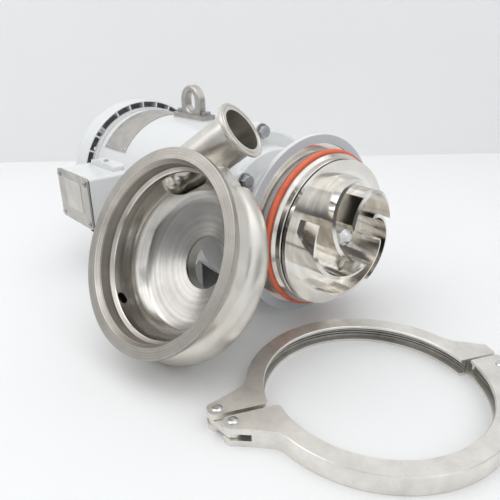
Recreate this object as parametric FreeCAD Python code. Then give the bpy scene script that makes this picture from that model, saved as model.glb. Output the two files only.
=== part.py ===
"""Centrifugal pump on its motor, with the casing and the ring clamp taken off for cleaning.

Millimetres. The origin is the centre of the four foot holes on the floor,
+X runs along the shaft towards the impeller and +Z is up.
"""
import FreeCAD, Part
import math
import os

V = FreeCAD.Vector
AXIS_X = V(1, 0, 0)
AXIS_Y = V(0, 1, 0)
AXIS_Z = V(0, 0, 1)
OUT = "parts"

# Motor mounting
SHAFT_HEIGHT = 114.3
FOOT_SPACING_X = 114.3
FOOT_SPACING_Y = 190.5
FOOT_HOLE_R = 5.2
FOOT_PAD_T = 6.0
FOOT_WEB_T = 6.0
FOOT_LENGTH = 148.0
FOOT_WEB_Y = 70.0
FOOT_PAD_MARGIN = 16.0
FACE_FROM_FOOT = 69.85

# Motor barrel and end bells
BARREL_R = 101.0
BARREL_WALL = 5.0
BARREL_REAR_X = -158.0
BELL_DEPTH = 35.0
BELL_STEP = 2.0
FACE_STEP = 7.0
FACE_R = 82.5
RABBET_R = 57.15
RABBET_H = 3.5
FACE_BOLT_R = 74.6
FACE_BOLT_SHANK_R = 4.6
FACE_BOLT_HOLE_R = 5.0
BELL_BOLT_SHANK_R = 4.0
LUG_R = 10.0
SPIGOT_LENGTH = 8.0
REAR_BELL_STEP = 3.5
REAR_BELL_T = 10.0
REAR_BELL_DISH = 16.0

# Bearings, shaft and windings
FRONT_BEARING = (15.0, 31.0, 16.0)
REAR_BEARING = (12.5, 26.0, 15.0)
RUNNING_GAP = 0.05
SHAFT_R = 14.29
SHAFT_MID_R = 19.0
SHAFT_END_FROM_FACE = 57.0
ROTOR_R = 57.4
AIR_GAP = 0.8
STACK_LENGTH = 120.0
STACK_CENTRE_X = -20.0
WINDING_REACH = 28.0

# Fan and fan cover
COVER_GAP = 13.0
COVER_WALL = 1.4
COVER_FROM_BARREL = 8.6
COVER_LENGTH = 52.0
COVER_CORNER_R = 20.0
VENT_RIBS = 28
VENT_RIB_W = 2.6
VENT_RIB_L = 12.0
COVER_BOSSES = 4
COVER_BOSS_W = 9.0
GRILLE_SLOTS = 24
GRILLE_SLOT_W = 5.0
GRILLE_INNER_R = 26.0
GRILLE_OUTER_R = 82.0
FAN_R = 86.0
FAN_BLADES = 7
FAN_BLADE_T = 3.0
FAN_BLADE_H = 18.0
FAN_HUB_R = 21.0
FAN_TO_BELL = 4.0

# Conduit box
BOX_LENGTH = 99.0
BOX_HEIGHT = 72.0
BOX_CENTRE_X = -107.5
BOX_CENTRE_Z = -2.3
BOX_FACE_Y = 156.0
BOX_WALL = 4.0
BOX_CORNER_R = 4.0
GASKET_T = 1.5
BOX_COVER_T = 2.5
BOX_SCREW_INSET = 7.0
BOX_SCREW_R = 1.95
BOX_SCREW_REACH = 12.0
BOX_SCREW_HOLE_R = 2.2
BOX_TAP_R = 2.0
BOX_TAP_DEPTH = 16.0
BOX_POST_R = 4.5
BOX_POST_L = 30.0
WIRE_HOLE_R = 18.0
HUB_LENGTH = 66.0
HUB_HEIGHT = 88.0
HUB_RISE = 11.0
PLUG_R = 6.0
PLUG_H = 9.0
PLUG_FROM_END = 20.0
PLUG_FROM_FACE = 8.0

# Nameplate and lifting eye
PLATE_REAR_X = -145.0
PLATE_WIDTH = 61.5
PLATE_START = 76.0
PLATE_END = 147.0
PLATE_T = 0.8
PLATE_GAP = 0.1
EYE_X = -25.4
EYE_BASE_L = 75.0
EYE_BASE_W = 24.0
EYE_BASE_T = 6.0
EYE_PAD_H = 1.5
EYE_WIDTH = 44.5
EYE_T = 13.0
EYE_HEIGHT = 39.0
EYE_HOLE_R = 11.0
EYE_HOLE_STRETCH = 5.0
EYE_SCREW_INSET = 7.5
EYE_SCREW_R = 3.3
EYE_SCREW_HOLE_R = 3.4
EYE_SCREW_AF = 11.0
EYE_SCREW_HEAD_H = 5.0

# Adapter between motor and pump
ADAPTER_FLANGE_R = 83.0
ADAPTER_FLANGE_T = 16.0
BOSS_H = 4.5
NECK_R = 60.0
NECK_WALL = 6.0
RING_R = 108.0
RING_FROM_FACE = 84.0
RIM_EDGE_T = 5.5
RIM_BEVEL = 2.0
RIM_BEVEL_R = 99.0
SEAT_R = 97.8
SEAT_DEPTH = 9.5
WINDOW_LENGTH = 28.0
WINDOW_HEIGHT = 60.0
WINDOW_FROM_FACE = 31.0

# Backplate, seal and O-ring
PLATE_R = 92.0
PLATE_FLANGE_T = 7.5
DRUM_R = 86.2
DRUM_FROM_RING = 31.8
GROOVE_FROM_RING = 11.8
GROOVE_W = 7.4
GROOVE_FLOOR_R = 86.8
GROOVE_LIP_R = 89.5
O_RING_SECTION = 6.8
SEAL_BORE_R = 16.6
SEAT_RING_R = 27.0
SEAT_RING_T = 7.0
SEAT_FROM_RING = 1.2
CARBON_R = 24.0
CARBON_T = 7.0
CUP_R = 23.0
CUP_T = 14.0

# Pump shaft and impeller
STUB_R = 21.0
STUB_SHAFT_R = 15.0
STUB_SPIGOT_R = 11.0
STUB_THREAD_R = 8.0
STUB_FROM_FACE = 21.0
SHOULDER_FROM_FACE = 63.0
COLLAR_R = 31.0
COLLAR_T = 15.0
COLLAR_SLIT = 2.0
IMPELLER_R = 84.5
IMPELLER_DISC_T = 4.5
IMPELLER_GAP = 1.2
IMPELLER_HUB_R = 17.0
IMPELLER_HUB_H = 4.5
VANES = 5
VANE_ARC_R = 46.0
VANE_CENTRE_R = 21.8
VANE_CENTRE_ANGLE = 155.0
VANE_T = 4.0
VANE_INNER_R = 30.0
VANE_TIP_R = 68.0
VANE_TIP_H = 24.4
VANE_SLOPE = 0.38
VANE_TIP_LEAN = 1.5
NUT_AF = 22.0
NUT_H = 10.0
NUT_DOME_H = 3.0

# Casing: depths run inwards from the open rim
CASING_FROM_RING = 32.5
CASING_Y = -201.5
CASING_TURN = -84.5
CASING_LEAN = 27.3
CASING_RIM_R = 108.0
CASING_NECK_R = 96.5
CASING_LAND_R = 95.9
CASING_BORE_R = 93.0
CASING_CHAMFER_D = 5.2
CASING_BORE_D = 18.1
CASING_LEDGE_R = 88.5
CASING_LEDGE_D = 21.9
CASING_WALL = 2.8
CHAMBER_D = 51.5
CHAMBER_R = 18.0
VOLUTE_R = 110.4
VOLUTE_OFFSET = 8.9
CONE_OUTER_R = 77.4
CONE_OUTER_D = 62.65
CONE_SLOPE = 0.309
SUCTION_TUBE_R = 31.75
SUCTION_BORE_R = 30.1
SUCTION_FACE_D = 93.0
SUCTION_FERRULE_R = 38.75
OUTLET_ANGLE = 41.4
OUTLET_OFFSET = 94.2
OUTLET_D = 47.0
OUTLET_FACE_L = 113.8
OUTLET_TUBE_R = 25.4
OUTLET_BORE_R = 23.75
OUTLET_START_R = 21.5
OUTLET_TAPER_L = 42.0
OUTLET_FERRULE_R = 32.0
FERRULE_L = 12.7
FERRULE_EDGE_T = 2.85
FERRULE_BEVEL = 3.6
FERRULE_GROOVE_R = 1.4
DRAIN_ANGLE = -132.0
DRAIN_D = 26.3
DRAIN_HOLE_R = 4.0
DRAIN_BOSS_R = 9.0
DRAIN_BOSS_H = 10.5
RIM_PIECE_D = 21.0
FRONT_PLATE_R = 66.0
OUTLET_WELD_L = 80.0

# Ring clamp lying on the floor
CLAMP_T = 19.2
CLAMP_OUTER_R = 121.5
CLAMP_LIP_R = 103.5
CLAMP_ROOT_R = 109.5
CLAMP_ROOT_W = 11.6
CLAMP_LIP_W = 13.6
CLAMP_CHAMFER = 1.6
CLAMP_FROM_RING = 160.9
FAR_Y = -87.4
FAR_TURN = 66.5
LINK_TURN = 1.5
NEAR_TURN = 67.0
FACE_GAP = 3.5
LUG_W = 17.0
LUG_ROOT_X = 119.0
LUG_ROOT_Y = 36.0
PIN_OFFSET = 11.0
PIN_REACH = 150.0
LUG_END_R = 9.0
PIN_R = 3.5
PIN_HEAD_R = 5.5
PIN_HEAD_H = 2.0
LINK_T = 6.0
LINK_R = 7.5
LINK_SLOT_GAP = 0.4
SLOT_DEPTH = 12.0
BOLT_REACH = 127.0
BOLT_PIN_OFFSET = 19.0
BOLT_LUG_END = 137.0
BOLT_LUG_W = 26.0
FAR_LUG_REACH = 146.0
FAR_LUG_W = 18.0
BOLT_R = 4.8
BOLT_EYE_R = 8.5
BOLT_EYE_T = 9.0
BOLT_LENGTH = 60.0
BOLT_OPEN = 110.0
BOLT_SLOT_W = 10.8
CLAMP_NUT_AF = 16.0
CLAMP_NUT_H = 9.0
CLAMP_NUT_FROM = 46.0

# Derived places along the shaft
FACE_X = FOOT_SPACING_X / 2 + FACE_FROM_FOOT
BARREL_FRONT_X = FACE_X - BELL_DEPTH
STACK_REAR_X = STACK_CENTRE_X - STACK_LENGTH / 2
STACK_FRONT_X = STACK_CENTRE_X + STACK_LENGTH / 2
BARREL_BORE_R = BARREL_R - BARREL_WALL
FRONT_SEAT_X = FACE_X - 29.0
REAR_SEAT_X = BARREL_REAR_X - 22.0
BELL_R = BARREL_R + BELL_STEP
BELL_BOLT_R = BARREL_R
REAR_BELL_R = BARREL_R + REAR_BELL_STEP
COVER_R = BARREL_R + COVER_GAP
HUB_Y = BARREL_R + HUB_RISE
SHAFT_END_X = FACE_X + SHAFT_END_FROM_FACE
COVER_FRONT_X = BARREL_REAR_X - COVER_FROM_BARREL
RING_FRONT_X = FACE_X + RING_FROM_FACE
GROOVE_X = RING_FRONT_X + GROOVE_FROM_RING
DRUM_FRONT_X = RING_FRONT_X + DRUM_FROM_RING
SEAT_RING_X = RING_FRONT_X + SEAT_FROM_RING
STUB_REAR_X = FACE_X + STUB_FROM_FACE
STUB_SHOULDER_X = FACE_X + SHOULDER_FROM_FACE
CASING_X = RING_FRONT_X - CASING_FROM_RING
FAR_X = RING_FRONT_X + CLAMP_FROM_RING
DISC_REAR_X = DRUM_FRONT_X + IMPELLER_GAP
DISC_FRONT_X = DISC_REAR_X + IMPELLER_DISC_T
HUB_FRONT_X = DISC_FRONT_X + IMPELLER_HUB_H
BOLT_ANGLES = [45, 135, 225, 315]
LUG_ANGLES = [0, 90, 180, 270]


def turned(profile, base=V(0, 0, 0), axis=AXIS_X, side=AXIS_Z):
    """Solid of revolution from (place along the axis, radius) pairs."""
    points = [base + axis * along + side * radius for along, radius in profile]
    face = Part.Face(Part.makePolygon(points + points[:1]))
    return face.revolve(base, axis, 360)


def tube(start, end, outer, inner, axis=AXIS_X):
    """Plain tube about an axis through the origin."""
    body = Part.makeCylinder(outer, end - start, axis * start, axis)
    return body.cut(Part.makeCylinder(inner, end - start, axis * start, axis))


def rod(start, end, radius, y=0.0, z=0.0):
    """Cylinder along X at a given offset."""
    return Part.makeCylinder(radius, end - start, V(start, y, z), AXIS_X)


def spun(shape, angle):
    """Copy turned about the shaft line."""
    copy = shape.copy()
    copy.rotate(V(0, 0, 0), AXIS_X, angle)
    return copy


def around(shape, angles):
    """Copies of a shape made on the +Y side, turned about the shaft line."""
    return [spun(shape, angle) for angle in angles]


def hexagon(across_flats, height, base, axis):
    """Hexagonal prism."""
    radius = across_flats / math.sqrt(3)
    wire = Part.makePolygon([V(radius * math.cos(math.radians(60 * k)),
                               radius * math.sin(math.radians(60 * k)), 0) for k in range(7)])
    solid = Part.Face(wire).extrude(V(0, 0, height))
    solid.Placement = FreeCAD.Placement(base, FreeCAD.Rotation(AXIS_Z, axis))
    return solid


def hex_head(across_flats, height, base, axis):
    """Hexagonal head whose free corners are turned off."""
    prism = hexagon(across_flats, height, base, axis)
    corner = across_flats / math.sqrt(3)
    side = AXIS_Y if abs(axis.y) < 0.9 else AXIS_Z
    limit = turned([(0, 0), (0, corner + 1), (height * 0.7, corner + 1),
                    (height, across_flats / 2 * 0.94), (height, 0)],
                   base, axis, axis.cross(side).normalize())
    return prism.common(limit)


def fuse_all(shapes):
    """One fused shape without seam edges."""
    return shapes[0].multiFuse(shapes[1:]).removeSplitter()


def block(x0, x1, y0, y1, z0, z1):
    """Box from its limits."""
    return Part.makeBox(x1 - x0, y1 - y0, z1 - z0, V(x0, y0, z0))


def rounded_block(x0, x1, y0, y1, z0, z1, radius, along):
    """Box whose edges along one direction are rounded."""
    body = block(x0, x1, y0, y1, z0, z1)
    edges = [edge for edge in body.Edges if edge.tangentAt(0).cross(along).Length < 1e-6]
    return body.makeFillet(radius, edges)


def lifted(shape):
    """Moves a shape from the shaft line to its height above the floor."""
    copy = shape.copy()
    copy.translate(V(0, 0, SHAFT_HEIGHT))
    return copy


def motor_frame():
    """Barrel with its end lugs, conduit hub and lifting pad."""
    barrel = Part.makeCylinder(BARREL_R, BARREL_FRONT_X - BARREL_REAR_X, V(BARREL_REAR_X, 0, 0), AXIS_X)
    lug = rod(BARREL_FRONT_X - 22, BARREL_FRONT_X, LUG_R - 1, BELL_BOLT_R)
    hub = rounded_block(BOX_CENTRE_X - HUB_LENGTH / 2, BOX_CENTRE_X + HUB_LENGTH / 2, -HUB_Y, -BARREL_R / 2,
                        BOX_CENTRE_Z - HUB_HEIGHT / 2, BOX_CENTRE_Z + HUB_HEIGHT / 2, 5, AXIS_Y)
    hub = hub.cut(conduit_envelope())
    pad = rounded_block(EYE_X - EYE_BASE_L / 2, EYE_X + EYE_BASE_L / 2, -EYE_BASE_W / 2, EYE_BASE_W / 2,
                        BARREL_R - BARREL_WALL, BARREL_R + EYE_PAD_H, 4, AXIS_Z)
    body = fuse_all([barrel, hub, pad] + around(lug, LUG_ANGLES))
    body = body.cut(rod(BARREL_REAR_X - LUG_R, FACE_X, BARREL_BORE_R))
    wires = Part.makeCylinder(WIRE_HOLE_R, HUB_Y + 10, V(BOX_CENTRE_X, 0, BOX_CENTRE_Z), AXIS_Y * -1)
    holes = around(rod(BARREL_FRONT_X - 16, BARREL_FRONT_X, BELL_BOLT_SHANK_R, BELL_BOLT_R), LUG_ANGLES)
    return body.cut([wires] + holes)


def motor_feet():
    """Two pressed feet, each with a pad, a web up to the barrel and end gussets."""
    feet = []
    pad_edge = FOOT_SPACING_Y / 2 + FOOT_PAD_MARGIN
    half = FOOT_LENGTH / 2
    barrel = Part.makeCylinder(BARREL_R, FOOT_LENGTH + 20, V(-half - 10, 0, SHAFT_HEIGHT), AXIS_X)
    drop = SHAFT_HEIGHT - math.sqrt(BARREL_R ** 2 - (FOOT_WEB_Y + FOOT_WEB_T) ** 2)
    for side in (-1, 1):
        pad = rounded_block(-half, half, FOOT_WEB_Y, pad_edge, 0, FOOT_PAD_T, 5, AXIS_Z)
        web = block(-half, half, FOOT_WEB_Y, FOOT_WEB_Y + FOOT_WEB_T, 0, drop)
        gussets = []
        for x in (-half, half - FOOT_WEB_T):
            outline = Part.makePolygon([V(x, FOOT_WEB_Y, 0), V(x, pad_edge - 5, 0), V(x, pad_edge - 5, FOOT_PAD_T),
                                        V(x, FOOT_WEB_Y + FOOT_WEB_T, drop - 2), V(x, FOOT_WEB_Y, drop - 2),
                                        V(x, FOOT_WEB_Y, 0)])
            gussets.append(Part.Face(outline).extrude(V(FOOT_WEB_T, 0, 0)))
        holes = [Part.makeCylinder(FOOT_HOLE_R, 20, V(x, FOOT_SPACING_Y / 2, -5))
                 for x in (-FOOT_SPACING_X / 2, FOOT_SPACING_X / 2)]
        foot = fuse_all([pad, web] + gussets).cut(holes + [barrel])
        if side < 0:
            foot = foot.mirror(V(0, 0, 0), AXIS_Y)
        feet.append(foot)
    return Part.makeCompound(feet)


def front_end_bell():
    """Front bell with the bearing seat, the pump mounting face and its register."""
    inner, outer, width = FRONT_BEARING
    seat = FRONT_SEAT_X
    step = FACE_X - FACE_STEP
    body = turned([(BARREL_FRONT_X - SPIGOT_LENGTH, BARREL_BORE_R - 0.05), (BARREL_FRONT_X, BARREL_BORE_R - 0.05),
                   (BARREL_FRONT_X, BELL_R), (step - 4, BELL_R), (step, BELL_R - 4), (step, FACE_R + 1.5),
                   (FACE_X, FACE_R), (FACE_X, RABBET_R), (FACE_X + RABBET_H, RABBET_R),
                   (FACE_X + RABBET_H, inner + 2), (seat + width, inner + 2), (seat + width, outer),
                   (seat, outer), (seat, outer + 9), (seat + 11, outer + 15), (FACE_X - 15, FACE_R - 18),
                   (FACE_X - 23, BARREL_BORE_R - 6), (BARREL_FRONT_X - SPIGOT_LENGTH, BARREL_BORE_R - 6)])
    lug = rod(BARREL_FRONT_X, step, LUG_R, BELL_BOLT_R)
    body = fuse_all([body] + around(lug, LUG_ANGLES))
    cuts = around(rod(FACE_X - 14, FACE_X + 1, FACE_BOLT_SHANK_R, FACE_BOLT_R), BOLT_ANGLES)
    cuts += around(rod(BARREL_FRONT_X - 1, FACE_X, BELL_BOLT_SHANK_R, BELL_BOLT_R), LUG_ANGLES)
    return body.cut(cuts)


def end_bell_bolts():
    """Four hexagon bolts with washers that hold the front bell to the barrel."""
    seat = FACE_X - FACE_STEP
    washer = rod(seat, seat + 2, LUG_R - 0.5, BELL_BOLT_R)
    head = hex_head(14.3, 6.0, V(seat + 2, BELL_BOLT_R, 0), AXIS_X)
    shank = rod(BARREL_FRONT_X - 15, seat, BELL_BOLT_SHANK_R, BELL_BOLT_R)
    return Part.makeCompound(around(fuse_all([washer, head, shank]), LUG_ANGLES))


def rear_end_bell():
    """Dished rear bell with the rear bearing seat."""
    inner, outer, width = REAR_BEARING
    face = BARREL_REAR_X - REAR_BELL_T
    back = face - REAR_BELL_DISH
    seat = REAR_SEAT_X
    return turned([(BARREL_REAR_X + SPIGOT_LENGTH, BARREL_BORE_R - 0.05), (BARREL_REAR_X, BARREL_BORE_R - 0.05),
                   (BARREL_REAR_X, REAR_BELL_R), (face, REAR_BELL_R), (face - 4, REAR_BELL_R - 6),
                   (back + 2, outer + 14), (back, outer + 8), (back, inner + 1), (seat, inner + 1), (seat, outer),
                   (seat + width, outer), (seat + width, outer + 8), (seat + width - 5, outer + 15),
                   (BARREL_REAR_X - 3, BARREL_BORE_R - 7), (BARREL_REAR_X + SPIGOT_LENGTH, BARREL_BORE_R - 7)])


def bearing(sizes, start):
    """Ball bearing envelope with the shield recess in both faces."""
    inner, outer, width = sizes
    ring_in = inner + RUNNING_GAP
    low = inner + (outer - inner) * 0.3
    high = inner + (outer - inner) * 0.72
    return turned([(start, ring_in), (start, low), (start + 1, low), (start + 1, high), (start, high),
                   (start, outer), (start + width, outer), (start + width, high), (start + width - 1, high),
                   (start + width - 1, low), (start + width, low), (start + width, ring_in)])


def stator_core():
    """Laminated stator ring."""
    return tube(STACK_REAR_X, STACK_FRONT_X, BARREL_BORE_R, ROTOR_R + AIR_GAP)


def stator_windings():
    """The two rounded heads of the winding."""
    heads = []
    for start in (STACK_REAR_X - WINDING_REACH, STACK_FRONT_X):
        head = tube(start, start + WINDING_REACH, BARREL_BORE_R - 8, ROTOR_R + AIR_GAP + 4)
        heads.append(head.makeFillet(6, [edge for edge in head.Edges if len(edge.Vertexes) == 1
                                         and abs(edge.BoundBox.Center.x - start - WINDING_REACH / 2) > 1]))
    return Part.makeCompound(heads)


def motor_shaft():
    """Stepped motor shaft from the fan to the pump end."""
    front, rear = FRONT_BEARING, REAR_BEARING
    fan_end = REAR_SEAT_X - 4 - FAN_TO_BELL - FAN_BLADE_H - 8
    return turned([(fan_end, 0), (fan_end, rear[0]), (REAR_SEAT_X + rear[2], rear[0]),
                   (REAR_SEAT_X + rear[2], SHAFT_MID_R), (FRONT_SEAT_X, SHAFT_MID_R), (FRONT_SEAT_X, front[0]),
                   (FACE_X, front[0]), (FACE_X, SHAFT_R), (SHAFT_END_X - 1.5, SHAFT_R),
                   (SHAFT_END_X, SHAFT_R - 1.5), (SHAFT_END_X, 0)])


def rotor_core():
    """Rotor stack with its end rings."""
    stack = tube(STACK_REAR_X, STACK_FRONT_X, ROTOR_R, SHAFT_MID_R)
    rings = [tube(start, start + 10, ROTOR_R - 3, ROTOR_R - 20) for start in (STACK_REAR_X - 10, STACK_FRONT_X)]
    return fuse_all([stack] + rings)


def cooling_fan():
    """Radial-blade fan on the rear end of the motor shaft."""
    front = REAR_SEAT_X - 4 - FAN_TO_BELL
    disc = tube(front - 3, front, FAN_R, REAR_BEARING[0])
    hub = tube(front - FAN_BLADE_H, front, FAN_HUB_R, REAR_BEARING[0])
    blade = block(front - FAN_BLADE_H, front - 2, FAN_HUB_R - 2, FAN_R - 1, -FAN_BLADE_T / 2, FAN_BLADE_T / 2)
    angles = [360 / FAN_BLADES * k for k in range(FAN_BLADES)]
    return fuse_all([disc, hub] + around(blade, angles))


def cover_profile(grow, front, back):
    """Outline of the fan cover's cup, moved outwards or inwards by grow."""
    radius = COVER_R + grow
    corner = COVER_CORNER_R + grow
    middle = V(back + corner - corner * math.sqrt(0.5), 0, radius - corner + corner * math.sqrt(0.5))
    bend = Part.Arc(V(back + corner, 0, radius), middle, V(back, 0, radius - corner)).toShape()
    lines = [V(back, 0, radius - corner), V(back, 0, 0), V(front, 0, 0), V(front, 0, radius),
             V(back + corner, 0, radius)]
    wire = Part.Wire([bend] + Part.makePolygon(lines).Edges)
    return Part.Face(wire).revolve(V(0, 0, 0), AXIS_X, 360)


def fan_cover():
    """Cup over the fan, with vent ribs at its mouth, screw bosses and an intake grille."""
    back = COVER_FRONT_X - COVER_LENGTH
    shell = cover_profile(0, COVER_FRONT_X, back)
    shell = shell.cut(cover_profile(-COVER_WALL, COVER_FRONT_X + 1, back + COVER_WALL))
    mouth = COVER_FRONT_X - VENT_RIB_L
    outer = COVER_R - COVER_WALL / 2
    rib = block(mouth, COVER_FRONT_X, REAR_BELL_R + 0.2, outer, -VENT_RIB_W / 2, VENT_RIB_W / 2)
    boss = block(mouth, COVER_FRONT_X, REAR_BELL_R + 0.2, outer, -COVER_BOSS_W / 2, COVER_BOSS_W / 2)
    boss_step = 360 / COVER_BOSSES
    ribs = []
    for k in range(VENT_RIBS):
        angle = 360 / VENT_RIBS * k
        from_boss = abs((angle - 45 + boss_step / 2) % boss_step - boss_step / 2)
        if from_boss > 360 / VENT_RIBS / 2:
            ribs.append(spun(rib, angle))
    slot = block(back - 1, back + COVER_WALL + 1, GRILLE_INNER_R, GRILLE_OUTER_R, -GRILLE_SLOT_W / 2, GRILLE_SLOT_W / 2)
    slots = around(slot, [360 / GRILLE_SLOTS * k for k in range(GRILLE_SLOTS)])
    holes = around(rod(mouth - 1, COVER_FRONT_X + 1, 1.9, cover_screw_r()), BOLT_ANGLES)
    return shell.cut(slots).multiFuse(ribs + around(boss, BOLT_ANGLES)).removeSplitter().cut(holes)


def cover_screw_r():
    """Radius of the fan cover's screws."""
    return (REAR_BELL_R + COVER_R - COVER_WALL) / 2


def fan_cover_screws():
    """Screws in the four bosses of the fan cover."""
    head = rod(COVER_FRONT_X, COVER_FRONT_X + 2, 3.4, cover_screw_r())
    shank = rod(COVER_FRONT_X - VENT_RIB_L, COVER_FRONT_X, 1.85, cover_screw_r())
    return Part.makeCompound(around(head.fuse(shank), BOLT_ANGLES))


def conduit_envelope():
    """Outer block of the conduit box, before the barrel is cut away."""
    return rounded_block(BOX_CENTRE_X - BOX_LENGTH / 2, BOX_CENTRE_X + BOX_LENGTH / 2, -BOX_FACE_Y, -BARREL_R / 2,
                         BOX_CENTRE_Z - BOX_HEIGHT / 2, BOX_CENTRE_Z + BOX_HEIGHT / 2, BOX_CORNER_R, AXIS_Y)


def conduit_box():
    """Cast box seated on the barrel, open towards its cover."""
    body = conduit_envelope()
    inside = rounded_block(BOX_CENTRE_X - BOX_LENGTH / 2 + BOX_WALL, BOX_CENTRE_X + BOX_LENGTH / 2 - BOX_WALL,
                           -BOX_FACE_Y - 1, -BARREL_R - BOX_WALL,
                           BOX_CENTRE_Z - BOX_HEIGHT / 2 + BOX_WALL, BOX_CENTRE_Z + BOX_HEIGHT / 2 - BOX_WALL,
                           BOX_CORNER_R / 2, AXIS_Y)
    posts = [Part.makeCylinder(BOX_POST_R, BOX_POST_L, V(x, -BOX_FACE_Y, z), AXIS_Y)
             for x, z in box_screw_places()]
    barrel = rod(BOX_CENTRE_X - BOX_LENGTH, BOX_CENTRE_X + BOX_LENGTH, BARREL_R)
    wires = Part.makeCylinder(WIRE_HOLE_R, BARREL_R + 10, V(BOX_CENTRE_X, 0, BOX_CENTRE_Z), AXIS_Y * -1)
    body = body.cut(inside).multiFuse([post.common(body) for post in posts])
    screws = [Part.makeCylinder(BOX_TAP_R, BOX_TAP_DEPTH, V(x, -BOX_FACE_Y, z), AXIS_Y)
              for x, z in box_screw_places()]
    return body.cut([barrel, wires, plug_shape(0)] + screws)


def box_screw_places():
    """Corner places of the cover screws."""
    half_x = BOX_LENGTH / 2 - BOX_SCREW_INSET
    half_z = BOX_HEIGHT / 2 - BOX_SCREW_INSET
    return [(BOX_CENTRE_X + sx * half_x, BOX_CENTRE_Z + sz * half_z) for sx in (-1, 1) for sz in (-1, 1)]


def box_plate(start, thickness, grow):
    """Flat plate in the outline of the conduit box's mouth, with screw holes."""
    plate = rounded_block(BOX_CENTRE_X - BOX_LENGTH / 2 - grow, BOX_CENTRE_X + BOX_LENGTH / 2 + grow,
                          -start - thickness, -start, BOX_CENTRE_Z - BOX_HEIGHT / 2 - grow,
                          BOX_CENTRE_Z + BOX_HEIGHT / 2 + grow, BOX_CORNER_R, AXIS_Y)
    return plate.cut([Part.makeCylinder(BOX_SCREW_HOLE_R, thickness + 2, V(x, -start + 1, z), AXIS_Y * -1)
                      for x, z in box_screw_places()])


def box_gasket():
    """Rubber frame between the box and its cover."""
    inset = BOX_WALL + 3
    frame = box_plate(BOX_FACE_Y, GASKET_T, -0.8)
    hole = block(BOX_CENTRE_X - BOX_LENGTH / 2 + inset, BOX_CENTRE_X + BOX_LENGTH / 2 - inset,
                 -BOX_FACE_Y - GASKET_T - 1, -BOX_FACE_Y + 1,
                 BOX_CENTRE_Z - BOX_HEIGHT / 2 + inset, BOX_CENTRE_Z + BOX_HEIGHT / 2 - inset)
    ears = [Part.makeCylinder(BOX_POST_R, GASKET_T, V(x, -BOX_FACE_Y, z), AXIS_Y * -1)
            .cut(Part.makeCylinder(BOX_SCREW_HOLE_R, GASKET_T, V(x, -BOX_FACE_Y, z), AXIS_Y * -1))
            for x, z in box_screw_places()]
    return frame.cut(hole).multiFuse(ears).removeSplitter()


def box_cover():
    """Flat cover plate of the conduit box."""
    return box_plate(BOX_FACE_Y + GASKET_T, BOX_COVER_T, 0.5)


def box_cover_screws():
    """Four domed cover screws."""
    screws = []
    top = BOX_FACE_Y + GASKET_T + BOX_COVER_T
    for x, z in box_screw_places():
        shank = Part.makeCylinder(BOX_SCREW_R, top - BOX_FACE_Y + BOX_SCREW_REACH,
                                  V(x, -BOX_FACE_Y + BOX_SCREW_REACH, z), AXIS_Y * -1)
        head = turned([(0, 0), (0, 4.2), (1.2, 4.2), (2.4, 3.0), (2.9, 1.2), (2.9, 0)],
                      V(x, -top, z), AXIS_Y * -1, AXIS_Z)
        screws.append(head.fuse(shank))
    return Part.makeCompound(screws)


def plug_shape(head):
    """Threaded plug in the bottom of the conduit box."""
    bottom = BOX_CENTRE_Z - BOX_HEIGHT / 2
    place = V(BOX_CENTRE_X + BOX_LENGTH / 2 - PLUG_FROM_END, -BOX_FACE_Y + PLUG_FROM_FACE, bottom)
    body = Part.makeCylinder(PLUG_R - 1.5, BOX_WALL + 1, place, AXIS_Z)
    if head:
        body = body.fuse(hex_head(PLUG_R * 2 - 1, PLUG_H, place, AXIS_Z * -1))
    return body


def motor_nameplate():
    """Curved plate riveted to the barrel, left bare."""
    low, high = BARREL_R + PLATE_GAP, BARREL_R + PLATE_GAP + PLATE_T
    front_x = PLATE_REAR_X + PLATE_WIDTH
    section = Part.makePolygon([V(PLATE_REAR_X, low, 0), V(front_x, low, 0), V(front_x, high, 0),
                                V(PLATE_REAR_X, high, 0), V(PLATE_REAR_X, low, 0)])
    strip = Part.Face(section).revolve(V(0, 0, 0), AXIS_X, PLATE_END - PLATE_START)
    strip = spun(strip, PLATE_START)
    return strip.cut([rivet(x, angle, 1.6, 0) for x, angle in rivet_places()])


def rivet_places():
    """Corner places of the nameplate rivets, as X and angle."""
    inset = 4.5
    turn = math.degrees(inset / BARREL_R)
    return [(x, angle) for x in (PLATE_REAR_X + inset, PLATE_REAR_X + PLATE_WIDTH - inset)
            for angle in (PLATE_START + turn, PLATE_END - turn)]


def rivet(x, angle, shank_r, head_r):
    """Radial rivet on the barrel; only its shank when head_r is 0."""
    low, high = BARREL_R + PLATE_GAP, BARREL_R + PLATE_GAP + PLATE_T
    profile = [(low, 0), (low, shank_r), (high, shank_r)]
    if head_r:
        profile += [(high, head_r), (high + 0.7, head_r * 0.8), (high + 1.1, head_r * 0.4), (high + 1.1, 0)]
    else:
        profile = [(low - 1, 0), (low - 1, shank_r), (high + 1, shank_r), (high + 1, 0)]
    return spun(turned(profile, V(x, 0, 0), AXIS_Y, AXIS_X), angle)


def nameplate_rivets():
    """Four drive rivets."""
    return Part.makeCompound([rivet(x, angle, 1.55, 2.7) for x, angle in rivet_places()])


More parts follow.
